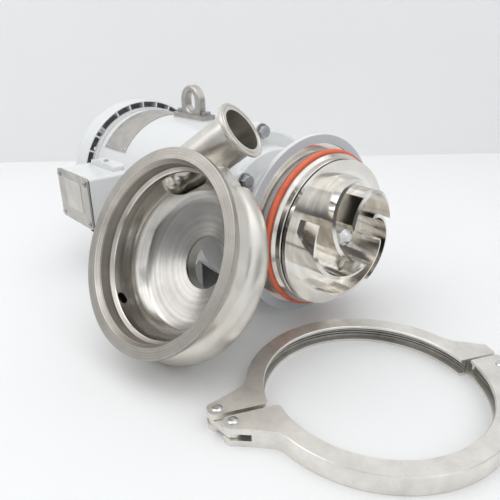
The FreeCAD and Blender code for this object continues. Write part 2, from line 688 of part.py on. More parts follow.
def lifting_eye():
    """Arched eye with an oblong hole on a screwed base plate."""
    base = BARREL_R + EYE_PAD_H
    plate = rounded_block(EYE_X - EYE_BASE_L / 2, EYE_X + EYE_BASE_L / 2, -EYE_BASE_W / 2, EYE_BASE_W / 2,
                          base, base + EYE_BASE_T, 4, AXIS_Z)
    radius = EYE_WIDTH / 2
    centre = base + EYE_BASE_T + EYE_HEIGHT - radius
    post = block(EYE_X - radius, EYE_X + radius, -EYE_T / 2, EYE_T / 2, base + EYE_BASE_T - 1, centre)
    arch = Part.makeCylinder(radius, EYE_T, V(EYE_X, -EYE_T / 2, centre), AXIS_Y)
    body = post.fuse(arch).removeSplitter()
    low = centre - EYE_HOLE_STRETCH / 2
    hole = fuse_all([Part.makeCylinder(EYE_HOLE_R, EYE_T * 2, V(EYE_X, -EYE_T, z), AXIS_Y)
                     for z in (low, low + EYE_HOLE_STRETCH)]
                    + [block(EYE_X - EYE_HOLE_R, EYE_X + EYE_HOLE_R, -EYE_T, EYE_T, low, low + EYE_HOLE_STRETCH)])
    body = body.cut(hole)
    rims = [edge for edge in body.Edges if abs(abs(edge.BoundBox.Center.y) - EYE_T / 2) < 0.01
            and edge.BoundBox.ZMin > base + EYE_BASE_T]
    body = body.makeFillet(3.0, rims)
    holes = [Part.makeCylinder(EYE_SCREW_HOLE_R, EYE_BASE_T * 3, V(x, 0, base - EYE_BASE_T))
             for x in eye_screw_places()]
    return body.fuse(plate).removeSplitter().cut(holes)


def eye_screw_places():
    """X places of the two lifting eye screws."""
    reach = EYE_BASE_L / 2 - EYE_SCREW_INSET
    return [EYE_X - reach, EYE_X + reach]


def lifting_eye_screws():
    """Two cap screws through the base plate of the eye."""
    screws = []
    base = BARREL_R + EYE_PAD_H
    for x in eye_screw_places():
        shank = Part.makeCylinder(EYE_SCREW_R, EYE_BASE_T, V(x, 0, base))
        head = hex_head(EYE_SCREW_AF, EYE_SCREW_HEAD_H, V(x, 0, base + EYE_BASE_T), AXIS_Z)
        screws.append(head.fuse(shank))
    return Part.makeCompound(screws)


def adapter():
    """Cast adapter: motor flange, windowed neck and the ring that takes the clamp."""
    flange_front = FACE_X + ADAPTER_FLANGE_T
    bore = NECK_R - NECK_WALL
    seat = RING_FRONT_X - SEAT_DEPTH
    body = turned([(FACE_X, RABBET_R + 0.1), (FACE_X, ADAPTER_FLANGE_R), (flange_front - 3.4, ADAPTER_FLANGE_R),
                   (flange_front, ADAPTER_FLANGE_R - 3), (flange_front, NECK_R), (flange_front + 14, NECK_R),
                   (seat - 15.5, NECK_R + 20), (seat - 6.5, RIM_BEVEL_R - 2), (seat - 4.5, RIM_BEVEL_R),
                   (RING_FRONT_X - RIM_EDGE_T - RIM_BEVEL, RIM_BEVEL_R), (RING_FRONT_X - RIM_EDGE_T, RING_R),
                   (RING_FRONT_X - 0.6, RING_R), (RING_FRONT_X, RING_R - 0.6), (RING_FRONT_X, SEAT_R),
                   (seat, SEAT_R), (seat, SEAT_R - 12), (seat - 9.5, NECK_R + 20), (seat - 17.5, NECK_R + 12),
                   (flange_front + 14, bore), (FACE_X + RABBET_H + 0.2, bore),
                   (FACE_X + RABBET_H + 0.2, RABBET_R + 0.1)])
    boss = rod(flange_front - 4, flange_front + BOSS_H, 10.5, FACE_BOLT_R)
    body = fuse_all([body] + around(boss, BOLT_ANGLES))
    start = FACE_X + WINDOW_FROM_FACE
    window = rounded_block(start, start + WINDOW_LENGTH, -RING_R, RING_R,
                           -WINDOW_HEIGHT / 2, WINDOW_HEIGHT / 2, 8, AXIS_Y)
    holes = around(rod(FACE_X - 1, flange_front + BOSS_H + 1, FACE_BOLT_HOLE_R, FACE_BOLT_R), BOLT_ANGLES)
    return body.cut([window] + holes)


def adapter_bolts():
    """Four hexagon bolts with washers that hold the adapter to the motor."""
    seat = FACE_X + ADAPTER_FLANGE_T + BOSS_H
    washer = rod(seat, seat + 1.6, 9.5, FACE_BOLT_R)
    head = hex_head(14.3, 7.6, V(seat + 1.6, FACE_BOLT_R, 0), AXIS_X)
    shank = rod(FACE_X - 13, seat, FACE_BOLT_SHANK_R, FACE_BOLT_R)
    return Part.makeCompound(around(fuse_all([washer, head, shank]), BOLT_ANGLES))


def backplate():
    """Turned plate that closes the casing and carries the O-ring and the seal seat."""
    rear = RING_FRONT_X - SEAT_DEPTH
    hub_rear = SEAT_RING_X - 4
    seat_floor = SEAT_RING_X + SEAT_RING_T
    return turned([(rear, SEAT_R - 14), (rear, SEAT_R - 0.2), (rear + PLATE_FLANGE_T, SEAT_R - 0.2),
                   (rear + PLATE_FLANGE_T, PLATE_R), (GROOVE_X, PLATE_R), (GROOVE_X, GROOVE_FLOOR_R),
                   (GROOVE_X + GROOVE_W, GROOVE_FLOOR_R), (GROOVE_X + GROOVE_W, GROOVE_LIP_R),
                   (GROOVE_X + GROOVE_W + 2.5, GROOVE_LIP_R), (GROOVE_X + GROOVE_W + 5.5, DRUM_R),
                   (DRUM_FRONT_X - 0.8, DRUM_R), (DRUM_FRONT_X, DRUM_R - 0.8), (DRUM_FRONT_X, SEAL_BORE_R),
                   (seat_floor, SEAL_BORE_R), (seat_floor, SEAT_RING_R), (hub_rear, SEAT_RING_R),
                   (hub_rear, SEAT_RING_R + 8), (DRUM_FRONT_X - 13, SEAT_RING_R + 12),
                   (DRUM_FRONT_X - 12, GROOVE_FLOOR_R - 12), (GROOVE_X - 12, GROOVE_FLOOR_R - 7)])


def casing_o_ring():
    """Moulded O-ring in the backplate's groove."""
    radius = O_RING_SECTION / 2
    return Part.makeTorus(GROOVE_FLOOR_R + radius + 0.1, radius, V(GROOVE_X + GROOVE_W / 2, 0, 0), AXIS_X)


def seal_seat():
    """Stationary hard ring of the shaft seal."""
    return tube(SEAT_RING_X, SEAT_RING_X + SEAT_RING_T, SEAT_RING_R, SEAL_BORE_R)


def seal_carbon():
    """Turning carbon ring that runs on the seat, with its raised nose."""
    front = SEAT_RING_X - RUNNING_GAP
    return turned([(front - CARBON_T, STUB_SHAFT_R), (front - CARBON_T, CARBON_R), (front - 2, CARBON_R),
                   (front - 2, CARBON_R - 2), (front, CARBON_R - 2), (front, SEAL_BORE_R + 0.4),
                   (front - 2, STUB_SHAFT_R)])


def seal_drive_cup():
    """Cup behind the carbon that turns it with the shaft."""
    end = SEAT_RING_X - RUNNING_GAP - CARBON_T
    start = end - CUP_T
    return turned([(start, STUB_SHAFT_R), (start, CUP_R - 1), (start + 1, CUP_R), (end, CUP_R),
                   (end, STUB_SHAFT_R)])


def stub_shaft():
    """Pump shaft: a bored sleeve over the motor shaft, then the stepped front end."""
    bore_end = SHAFT_END_X + 1.5
    return turned([(STUB_REAR_X, SHAFT_R), (STUB_REAR_X, STUB_R), (STUB_SHOULDER_X, STUB_R),
                   (STUB_SHOULDER_X, STUB_SHAFT_R), (DISC_REAR_X, STUB_SHAFT_R), (DISC_REAR_X, STUB_SPIGOT_R),
                   (HUB_FRONT_X, STUB_SPIGOT_R), (HUB_FRONT_X, STUB_THREAD_R),
                   (HUB_FRONT_X + NUT_H - 1, STUB_THREAD_R), (HUB_FRONT_X + NUT_H - 1, 0), (bore_end, 0),
                   (bore_end, SHAFT_R)])


def stub_collar():
    """Split collar that clamps the pump shaft on the motor shaft."""
    start = STUB_REAR_X + 3
    ring = tube(start, start + COLLAR_T, COLLAR_R, STUB_R)
    ring = ring.makeChamfer(1.0, [edge for edge in ring.Edges
                                  if len(edge.Vertexes) == 1 and edge.BoundBox.YLength > 2 * COLLAR_R - 1])
    slit = block(start - 1, start + COLLAR_T + 1, 0, COLLAR_R + 5, -COLLAR_SLIT / 2, COLLAR_SLIT / 2)
    pocket = Part.makeCylinder(5.2, 12, V(start + COLLAR_T / 2, COLLAR_R - 5, 8), AXIS_Z)
    return spun(ring.cut([slit, pocket]), 90)


def impeller():
    """Open impeller: a flat disc, a low hub and five arc vanes with a tapered front edge."""
    disc = Part.makeCylinder(IMPELLER_R, IMPELLER_DISC_T, V(DISC_REAR_X, 0, 0), AXIS_X)
    hub = Part.makeCone(IMPELLER_HUB_R + 3, IMPELLER_HUB_R, IMPELLER_HUB_H, V(DISC_FRONT_X, 0, 0), AXIS_X)
    tip_x = DISC_FRONT_X + VANE_TIP_H
    eye_x = tip_x + VANE_SLOPE * VANE_TIP_R
    reach = turned([(DISC_FRONT_X - 1, 0), (DISC_FRONT_X - 1, VANE_TIP_R + VANE_TIP_LEAN),
                    (tip_x, VANE_TIP_R - VANE_TIP_LEAN), (eye_x, 0)])
    vane = vane_blank(tip_x).common(reach)
    vanes = [spun(vane, -360 / VANES * k) for k in range(VANES)]
    body = fuse_all([disc, hub] + vanes)
    return body.cut(rod(DISC_REAR_X - 1, eye_x, STUB_SPIGOT_R))


def vane_blank(tip_x):
    """Arc strip of one vane at full height, before its edges are turned."""
    centre = V(0, VANE_CENTRE_R * math.cos(math.radians(VANE_CENTRE_ANGLE)),
               VANE_CENTRE_R * math.sin(math.radians(VANE_CENTRE_ANGLE)))
    bend = (VANE_INNER_R ** 2 - VANE_CENTRE_R ** 2 - VANE_ARC_R ** 2) / (2 * VANE_CENTRE_R * VANE_ARC_R)
    inner_turn = VANE_CENTRE_ANGLE + math.degrees(math.acos(bend))
    outer_turn = VANE_CENTRE_ANGLE - 4

    def at(radius, turn):
        return centre + V(0, radius * math.cos(math.radians(turn)), radius * math.sin(math.radians(turn)))

    low, high = VANE_ARC_R - VANE_T / 2, VANE_ARC_R + VANE_T / 2
    middle = (inner_turn + outer_turn) / 2
    edges = [Part.Arc(at(high, outer_turn), at(high, middle), at(high, inner_turn - 4)).toShape(),
             Part.makeLine(at(high, inner_turn - 4), at(low + 0.8, inner_turn + 3)),
             Part.makeLine(at(low + 0.8, inner_turn + 3), at(low, inner_turn)),
             Part.Arc(at(low, inner_turn), at(low, middle), at(low, outer_turn)).toShape(),
             Part.makeLine(at(low, outer_turn), at(high, outer_turn))]
    face = Part.Face(Part.Wire(edges))
    face.translate(V(DISC_FRONT_X - 0.5, 0, 0))
    return face.extrude(V(tip_x - DISC_FRONT_X + VANE_SLOPE * VANE_TIP_R, 0, 0))


def impeller_nut():
    """Domed hexagon nut on the pump shaft."""
    nut = hexagon(NUT_AF, NUT_H, V(HUB_FRONT_X, 0, 0), AXIS_X)
    corner = NUT_AF / math.sqrt(3)
    front = HUB_FRONT_X + NUT_H
    limit = turned([(HUB_FRONT_X, 0), (HUB_FRONT_X, corner + 1), (front - 3, corner + 1), (front, NUT_AF * 0.44),
                    (front, 0)])
    dome = Part.makeCone(NUT_AF * 0.4, NUT_AF * 0.22, NUT_DOME_H, V(front, 0, 0), AXIS_X)
    return nut.common(limit).fuse(dome).cut(rod(HUB_FRONT_X - 1, front - 0.9, STUB_THREAD_R))


def casing_frame():
    """Placement of the casing: local Z points out of its mouth and it stands on its volute."""
    turn, lean = math.radians(CASING_TURN), math.radians(CASING_LEAN)
    out = V(math.cos(lean) * math.cos(turn), math.cos(lean) * math.sin(turn), math.sin(lean))
    right = V(-math.sin(turn), math.cos(turn), 0)
    up = out.cross(right)
    centre = volute_centre()
    outer = CHAMBER_R + CASING_WALL
    low = out.z * centre.z + up.z * centre.y - (VOLUTE_R - outer) * up.z - outer
    return FreeCAD.Placement(V(CASING_X, CASING_Y, -low), FreeCAD.Rotation(right, up, out, "ZXY"))


def volute_centre():
    """Centre of the eccentric chamber ring in the casing's own frame."""
    away = math.radians(OUTLET_ANGLE + 180)
    return V(VOLUTE_OFFSET * math.cos(away), VOLUTE_OFFSET * math.sin(away), -CHAMBER_D)


def outlet_frame():
    """Foot and direction of the outlet's axis in the casing's own frame."""
    angle = math.radians(OUTLET_ANGLE)
    along = V(math.cos(angle), math.sin(angle), 0)
    aside = V(-math.sin(angle), math.cos(angle), 0)
    return aside * OUTLET_OFFSET + V(0, 0, -OUTLET_D), along


def outlet_solid(shrink, length):
    """Flared start and tube of the outlet, made thinner by shrink."""
    foot, along = outlet_frame()
    start, end = OUTLET_START_R - shrink, OUTLET_TUBE_R - shrink
    flare = Part.makeCone(start, end, OUTLET_TAPER_L, foot, along)
    straight = Part.makeCylinder(end, length - OUTLET_TAPER_L, foot + along * OUTLET_TAPER_L, along)
    return fuse_all([Part.makeSphere(start, foot), flare, straight])


def casing_solid():
    """Welded casing in one solid: clamp rim, bored neck, volute chamber and front cone."""
    wall = CASING_WALL
    cone_wall = wall * math.sqrt(1 + CONE_SLOPE ** 2)
    down = AXIS_Z * -1
    hole_d = CONE_OUTER_D + (CONE_OUTER_R - SUCTION_BORE_R) * CONE_SLOPE
    suction_end = SUCTION_FACE_D - FERRULE_L
    outer = turned([(0, 0), (0, CASING_RIM_R - 0.6), (0.6, CASING_RIM_R), (RIM_EDGE_T, CASING_RIM_R),
                    (RIM_EDGE_T + RIM_BEVEL, RIM_BEVEL_R), (RIM_EDGE_T + RIM_BEVEL + 1.5, CASING_NECK_R),
                    (CHAMBER_D, CASING_NECK_R), (CONE_OUTER_D + cone_wall, CONE_OUTER_R),
                    (hole_d + cone_wall, SUCTION_TUBE_R), (suction_end, SUCTION_TUBE_R), (suction_end, 0)],
                   V(0, 0, 0), down, AXIS_X)
    inner = turned([(-1, 0), (-1, CASING_LAND_R), (0, CASING_LAND_R), (CASING_CHAMFER_D, CASING_BORE_R),
                    (CASING_BORE_D, CASING_BORE_R - 1), (CASING_LEDGE_D, CASING_LEDGE_R),
                    (CHAMBER_D, CASING_LEDGE_R), (CONE_OUTER_D, CONE_OUTER_R), (hole_d, SUCTION_BORE_R),
                    (suction_end + 1, SUCTION_BORE_R), (suction_end + 1, 0)], V(0, 0, 0), down, AXIS_X)
    middle = volute_centre()
    ring_r = VOLUTE_R - CHAMBER_R - wall
    outlet_end = OUTLET_FACE_L - FERRULE_L
    drain = drain_axis()
    shell = fuse_all([outer, Part.makeTorus(ring_r, CHAMBER_R + wall, middle), outlet_solid(0, outlet_end)])
    hollow = fuse_all([inner, Part.makeTorus(ring_r, CHAMBER_R, middle),
                       outlet_solid(OUTLET_TUBE_R - OUTLET_BORE_R, outlet_end + 1)])
    return shell.cut(hollow).cut(Part.makeCylinder(DRAIN_HOLE_R, 30, drain[0], drain[1]))


def rim_zone():
    """Space taken by the machined clamp rim of the casing."""
    return Part.makeCylinder(CASING_RIM_R + 1, RIM_PIECE_D + 1, V(0, 0, -RIM_PIECE_D))


def front_zone():
    """Space taken by the coned front plate and its suction tube."""
    return Part.makeCylinder(FRONT_PLATE_R, SUCTION_FACE_D - CHAMBER_D, V(0, 0, -SUCTION_FACE_D))


def outlet_zone():
    """Space taken by the straight outlet tube beyond the chamber."""
    foot, along = outlet_frame()
    return Part.makeCylinder(OUTLET_TUBE_R + 1, OUTLET_FACE_L - OUTLET_WELD_L, foot + along * OUTLET_WELD_L, along)


def casing_rim():
    """Machined clamp rim of the casing."""
    return casing_solid().common(rim_zone())


def volute_casing():
    """Pressed volute chamber with the flared start of its outlet."""
    return casing_solid().cut([rim_zone(), front_zone(), outlet_zone()])


def casing_front():
    """Coned front plate with the suction tube."""
    return casing_solid().common(front_zone())


def outlet_tube():
    """Straight tube welded to the end of the outlet's flare."""
    return casing_solid().common(outlet_zone())


def drain_axis():
    """Start inside the chamber's wall and direction of the drain."""
    angle = math.radians(DRAIN_ANGLE)
    along = V(math.cos(angle), math.sin(angle), 0)
    return V(0, 0, -DRAIN_D) + along * (CASING_LEDGE_R - DRAIN_HOLE_R), along


def drain_boss():
    """Short welded boss round the drain hole."""
    start, along = drain_axis()
    length = CASING_NECK_R + DRAIN_BOSS_H - CASING_LEDGE_R + DRAIN_HOLE_R
    body = Part.makeCylinder(DRAIN_BOSS_R, length, start, along)
    ring = Part.makeTorus(VOLUTE_R - CHAMBER_R - CASING_WALL, CHAMBER_R + CASING_WALL, volute_centre())
    neck = Part.makeCylinder(CASING_NECK_R, CHAMBER_D, V(0, 0, -CHAMBER_D))
    return body.cut([ring, neck, Part.makeCylinder(DRAIN_HOLE_R, length * 2, start - along * DRAIN_HOLE_R, along)])


def ferrule(tube_r, bore_r, rim_r, base, along, side):
    """Clamp ferrule welded to a tube; base is its weld end."""
    edge = FERRULE_L - FERRULE_EDGE_T
    body = turned([(0, bore_r), (0, tube_r), (edge - FERRULE_BEVEL - 1.5, tube_r), (edge - FERRULE_BEVEL, tube_r + 1),
                   (edge, rim_r), (FERRULE_L - 0.4, rim_r), (FERRULE_L, rim_r - 0.4), (FERRULE_L, bore_r)],
                  base, along, side)
    groove = Part.makeTorus((tube_r + rim_r) / 2 - 0.6, FERRULE_GROOVE_R, base + along * FERRULE_L, along)
    return body.cut(groove)


def outlet_ferrule():
    """Ferrule of the pump outlet."""
    foot, along = outlet_frame()
    return ferrule(OUTLET_TUBE_R, OUTLET_BORE_R, OUTLET_FERRULE_R, foot + along * (OUTLET_FACE_L - FERRULE_L),
                   along, AXIS_Z)


def suction_ferrule():
    """Ferrule of the pump inlet."""
    return ferrule(SUCTION_TUBE_R, SUCTION_BORE_R, SUCTION_FERRULE_R, V(0, 0, FERRULE_L - SUCTION_FACE_D),
                   AXIS_Z * -1, AXIS_X)


def half_ring():
    """Half of the clamp's channel ring on its +Y side, with the hinge at -X."""
    chamfer = CLAMP_CHAMFER
    low_root, high_root = (CLAMP_T - CLAMP_ROOT_W) / 2, (CLAMP_T + CLAMP_ROOT_W) / 2
    low_lip, high_lip = (CLAMP_T - CLAMP_LIP_W) / 2, (CLAMP_T + CLAMP_LIP_W) / 2
    ring = turned([(0, CLAMP_LIP_R), (0, CLAMP_OUTER_R - chamfer), (chamfer, CLAMP_OUTER_R),
                   (CLAMP_T - chamfer, CLAMP_OUTER_R), (CLAMP_T, CLAMP_OUTER_R - chamfer), (CLAMP_T, CLAMP_LIP_R),
                   (high_lip, CLAMP_LIP_R), (high_root, CLAMP_ROOT_R), (low_root, CLAMP_ROOT_R),
                   (low_lip, CLAMP_LIP_R)], V(0, 0, 0), AXIS_Z, AXIS_X)
    size = CLAMP_OUTER_R + 5
    return ring.common(block(-size, size, FACE_GAP, size, -5, CLAMP_T + 5))


def clamp_lug(end, width, sign, corner):
    """Tapered lug outside the ring, on the -X side for sign -1 and +X for sign 1."""
    face, back = FACE_GAP, FACE_GAP + width
    outline = [V(LUG_ROOT_X - 20, face, 0), V(end, face, 0), V(end, back, 0),
               V(LUG_ROOT_X, max(LUG_ROOT_Y, back), 0), V(LUG_ROOT_X - 10, LUG_ROOT_Y + 14, 0),
               V(LUG_ROOT_X - 24, LUG_ROOT_Y + 14, 0)]
    lug = Part.Face(Part.makePolygon(outline + outline[:1])).extrude(V(0, 0, CLAMP_T))
    edges = [edge for edge in lug.Edges if abs(edge.BoundBox.Center.x - end) < 1e-6
             and edge.tangentAt(0).cross(AXIS_Z).Length < 1e-6]
    lug = lug.makeFillet(corner, edges)
    lug = lug.cut(Part.makeCylinder(CLAMP_ROOT_R + 1, CLAMP_T * 3, V(0, 0, -CLAMP_T)))
    if sign < 0:
        lug = lug.mirror(V(0, 0, 0), AXIS_X)
    return lug


def slot_box(sign, start, width):
    """Slot at mid height through a lug, open at its end."""
    size = PIN_REACH * 1.2
    low, high = (CLAMP_T - width) / 2, (CLAMP_T + width) / 2
    if sign < 0:
        return block(-size, -start, FACE_GAP - 5, CLAMP_ROOT_R, low, high)
    return block(start, size, FACE_GAP - 5, CLAMP_ROOT_R, low, high)


def clamp_half(right_lug, right_width, right_slot, slot_width):
    """Half of the clamp with its hinge lug and the lug at the bolt end."""
    hinge = clamp_lug(PIN_REACH + LUG_END_R, LUG_W, -1, LUG_END_R * 0.8)
    bolt_end = clamp_lug(right_lug, right_width, 1, LUG_END_R * 0.4)
    body = fuse_all([half_ring(), hinge, bolt_end])
    link_width = LINK_T + 2 * LINK_SLOT_GAP
    cuts = [slot_box(-1, PIN_REACH - SLOT_DEPTH, link_width), slot_box(1, right_slot, slot_width),
            Part.makeCylinder(PIN_R + RUNNING_GAP, CLAMP_T * 2, V(-PIN_REACH, PIN_OFFSET, -5))]
    return body.cut(cuts)


def clamp_far_half():
    """Half with the open fork that the swing bolt drops into."""
    return clamp_half(FAR_LUG_REACH, FAR_LUG_W, BOLT_REACH - BOLT_EYE_R, BOLT_SLOT_W)


def clamp_near_half():
    """Half that carries the swing bolt's pin."""
    body = clamp_half(BOLT_LUG_END, BOLT_LUG_W, BOLT_REACH - BOLT_EYE_R - 1.5, BOLT_EYE_T + 2 * LINK_SLOT_GAP)
    body = body.cut(Part.makeCylinder(PIN_R, CLAMP_T * 2, V(BOLT_REACH, BOLT_PIN_OFFSET, -5)))
    return body.mirror(V(0, 0, 0), AXIS_Y)


def headed_pin(x, y):
    """Pin through a lug with a low head on top, held inside the clamp's thickness."""
    pin = Part.makeCylinder(PIN_R, CLAMP_T - 0.5, V(x, y, 0.5))
    head = Part.makeCylinder(PIN_HEAD_R, PIN_HEAD_H, V(x, y, CLAMP_T + RUNNING_GAP))
    neck = Part.makeCylinder(PIN_R, 1, V(x, y, CLAMP_T - 0.5))
    return fuse_all([pin, neck, head.makeChamfer(0.6, [head.Edges[0]])])


def link_length():
    """Distance between the two hinge pins."""
    return 2 * PIN_OFFSET


def clamp_link():
    """Flat link between the two hinge pins, along +X from the far pin."""
    low = (CLAMP_T - LINK_T) / 2
    length = link_length()
    ends = [Part.makeCylinder(LINK_R, LINK_T, V(x, 0, low)) for x in (0, length)]
    bar = block(0, length, -LINK_R, LINK_R, low, low + LINK_T)
    holes = [Part.makeCylinder(PIN_R, 30, V(x, 0, -5)) for x in (0, length)]
    return fuse_all([bar] + ends).cut(holes)


def link_pins():
    """The two hinge pins in the link."""
    return Part.makeCompound([headed_pin(x, 0) for x in (0, link_length())])


def swing_bolt():
    """Eye bolt along +Y from its pin."""
    mid = CLAMP_T / 2
    eye = Part.makeCylinder(BOLT_EYE_R, BOLT_EYE_T, V(0, 0, mid - BOLT_EYE_T / 2))
    shank = Part.makeCylinder(BOLT_R, BOLT_LENGTH, V(0, 0, mid), AXIS_Y)
    tip = Part.makeCone(BOLT_R, BOLT_R - 1.2, 1.2, V(0, BOLT_LENGTH, mid), AXIS_Y)
    body = fuse_all([eye, shank, tip])
    return body.cut(Part.makeCylinder(PIN_R + RUNNING_GAP, CLAMP_T, V(0, 0, 0)))


def clamp_nut():
    """Hexagon nut on the swing bolt."""
    base = V(0, CLAMP_NUT_FROM, CLAMP_T / 2)
    nut = hex_head(CLAMP_NUT_AF, CLAMP_NUT_H, base, AXIS_Y)
    return nut.cut(Part.makeCylinder(BOLT_R + RUNNING_GAP, CLAMP_NUT_H * 3, base - AXIS_Y * CLAMP_NUT_H, AXIS_Y))


def turned_about_z(x, y, degrees):
    """Placement on the floor, turned about the vertical."""
    return FreeCAD.Placement(V(x, y, 0), FreeCAD.Rotation(AXIS_Z, degrees))


def clamp_placements():
    """Placements of the far half, the link, the near half and the swing bolt."""
    far = turned_about_z(FAR_X, FAR_Y, FAR_TURN)
    far_pin = far.multVec(V(-PIN_REACH, PIN_OFFSET, 0))
    link = turned_about_z(far_pin.x, far_pin.y, LINK_TURN)
    near_pin = link.multVec(V(link_length(), 0, 0))
    turn = FreeCAD.Rotation(AXIS_Z, NEAR_TURN)
    centre = near_pin - turn.multVec(V(-PIN_REACH, -PIN_OFFSET, 0))
    near = turned_about_z(centre.x, centre.y, NEAR_TURN)
    bolt_pin = near.multVec(V(BOLT_REACH, -BOLT_PIN_OFFSET, 0))
    bolt = turned_about_z(bolt_pin.x, bolt_pin.y, NEAR_TURN - BOLT_OPEN)
    return far, link, near, bolt


def placed(shape, placement):
    """Copy of a shape at a placement."""
    copy = shape.copy()
    copy.Placement = placement.multiply(copy.Placement)
    return copy


def swing_bolt_pin():
    """Pin that carries the swing bolt in the near half."""
    return headed_pin(BOLT_REACH, -BOLT_PIN_OFFSET)


def build():
    """All pieces by node name, in the part's frame."""
    on_shaft = {
        "motor_frame": motor_frame(),
        "front_end_bell": front_end_bell(),
        "end_bell_bolts": end_bell_bolts(),
        "rear_end_bell": rear_end_bell(),
        "front_bearing": bearing(FRONT_BEARING, FRONT_SEAT_X),
        "rear_bearing": bearing(REAR_BEARING, REAR_SEAT_X),
        "stator_core": stator_core(),
        "stator_windings": stator_windings(),
        "motor_shaft": motor_shaft(),
        "rotor_core": rotor_core(),
        "cooling_fan": cooling_fan(),
        "fan_cover": fan_cover(),
        "fan_cover_screws": fan_cover_screws(),
        "conduit_box": conduit_box(),
        "box_gasket": box_gasket(),
        "box_cover": box_cover(),
        "box_cover_screws": box_cover_screws(),
        "box_plug": plug_shape(1),
        "motor_nameplate": motor_nameplate(),
        "nameplate_rivets": nameplate_rivets(),
        "lifting_eye": lifting_eye(),
        "lifting_eye_screws": lifting_eye_screws(),
        "adapter": adapter(),
        "adapter_bolts": adapter_bolts(),
        "backplate": backplate(),
        "casing_o_ring": casing_o_ring(),
        "seal_seat": seal_seat(),
        "seal_carbon": seal_carbon(),
        "seal_drive_cup": seal_drive_cup(),
        "stub_shaft": stub_shaft(),
        "stub_collar": stub_collar(),
        "impeller": impeller(),
        "impeller_nut": impeller_nut(),
    }
    nodes = {name: lifted(shape) for name, shape in on_shaft.items()}
    nodes["motor_feet"] = motor_feet()
    casing = casing_frame()
    for name, make in (("casing_rim", casing_rim), ("volute_casing", volute_casing),
                       ("casing_front", casing_front), ("outlet_tube", outlet_tube),
                       ("outlet_ferrule", outlet_ferrule), ("suction_ferrule", suction_ferrule),
                       ("drain_boss", drain_boss)):
        nodes[name] = placed(make(), casing)
    far, link, near, bolt = clamp_placements()
    nodes["clamp_far_half"] = placed(clamp_far_half(), far)
    nodes["clamp_near_half"] = placed(clamp_near_half(), near)
    nodes["clamp_link"] = placed(clamp_link(), link)
    nodes["link_pins"] = placed(link_pins(), link)
    nodes["swing_bolt"] = placed(swing_bolt(), bolt)
    nodes["swing_bolt_pin"] = placed(swing_bolt_pin(), near)
    nodes["clamp_nut"] = placed(clamp_nut(), bolt)
    return nodes


os.makedirs(OUT, exist_ok=True)
for node, shape in build().items():
    shape.exportStep(os.path.join(OUT, node + ".step"))
    print(node, len(shape.Solids), round(shape.Volume), shape.isValid())
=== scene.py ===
"""Looks of a centrifugal pump that stands opened for cleaning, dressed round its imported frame.

Metres throughout, in the frame of the part: +X runs along the shaft towards the impeller, +Z is up,
and the conduit box and the loose casing are on the -Y side. Sizes of pieces are given in millimetres
and brought to metres by MM.
"""
import logging
import math
from dataclasses import dataclass
from enum import Enum
from typing import ClassVar

import bpy
from mathutils import Matrix, Vector


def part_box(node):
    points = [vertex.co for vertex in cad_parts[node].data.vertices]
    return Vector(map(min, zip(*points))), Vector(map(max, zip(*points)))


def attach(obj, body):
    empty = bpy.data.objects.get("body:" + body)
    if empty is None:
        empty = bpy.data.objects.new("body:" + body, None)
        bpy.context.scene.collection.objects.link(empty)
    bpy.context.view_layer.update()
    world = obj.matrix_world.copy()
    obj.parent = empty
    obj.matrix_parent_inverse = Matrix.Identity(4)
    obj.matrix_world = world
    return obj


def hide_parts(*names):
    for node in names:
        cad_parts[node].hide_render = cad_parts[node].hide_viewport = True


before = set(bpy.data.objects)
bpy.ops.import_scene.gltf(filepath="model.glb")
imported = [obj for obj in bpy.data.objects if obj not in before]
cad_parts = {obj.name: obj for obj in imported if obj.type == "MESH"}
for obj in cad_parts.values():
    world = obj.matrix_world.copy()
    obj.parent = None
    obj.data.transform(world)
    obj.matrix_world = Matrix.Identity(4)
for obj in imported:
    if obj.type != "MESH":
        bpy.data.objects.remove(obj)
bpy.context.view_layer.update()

LOG = logging.getLogger("pump")

MM = 0.001
SHAFT_HEIGHT = 114.3 * MM
RING_FRONT = 211.0
SIDES = 160
FINE_SIDES = 192
MERGE_WITHIN = 0.002 * MM
SLIVER = 0.001 * MM

CASING_TURN = math.radians(-84.5)
CASING_LEAN = math.radians(27.3)
CASING_MOUTH = (178.5, -201.5, 129.3)
OUTLET_ANGLE = math.radians(41.4)
OUTLET_FOOT = (94.2, 47.0)
DRAIN_ANGLE = math.radians(-132.0)
DRAIN_DEPTH = 28.8
CLAMP_CENTRE = (371.9, -87.4, 0.0)
CLAMP_TURNS = (66.5, 1.5, 67.0)
CLAMP_PIN = (150.0, 11.0)

ENAMEL_WHITE = (0.76, 0.77, 0.77)
ENAMEL_DUST = (0.64, 0.64, 0.62)
# Near-black painted shade, laid on the casing drain's bore and in the root and grooves of the clamp's channel.
PAINTED_SHADE_BLACK = (0.03, 0.028, 0.026)


class Body(Enum):
    """Bodies of the part that new pieces ride on."""

    PUMP = "pump"
    CASING = "casing"
    FAR_HALF = "far_half"
    LINK = "link"
    NEAR_HALF = "near_half"


class Way(Enum):
    """Directions that pieces are mirrored along."""

    X = Vector((1, 0, 0))
    Y = Vector((0, 1, 0))


def casing_place() -> Matrix:
    """Placement of the loose casing, whose own Z points out of its mouth.

    Returns:
        The matrix from the casing's own frame to the part's frame.
    """
    out = Vector((math.cos(CASING_LEAN) * math.cos(CASING_TURN),
                  math.cos(CASING_LEAN) * math.sin(CASING_TURN), math.sin(CASING_LEAN)))
    right = Vector((-math.sin(CASING_TURN), math.cos(CASING_TURN), 0.0))
    matrix = Matrix((right, out.cross(right), out)).transposed().to_4x4()
    matrix.translation = Vector(CASING_MOUTH) * MM
    return matrix


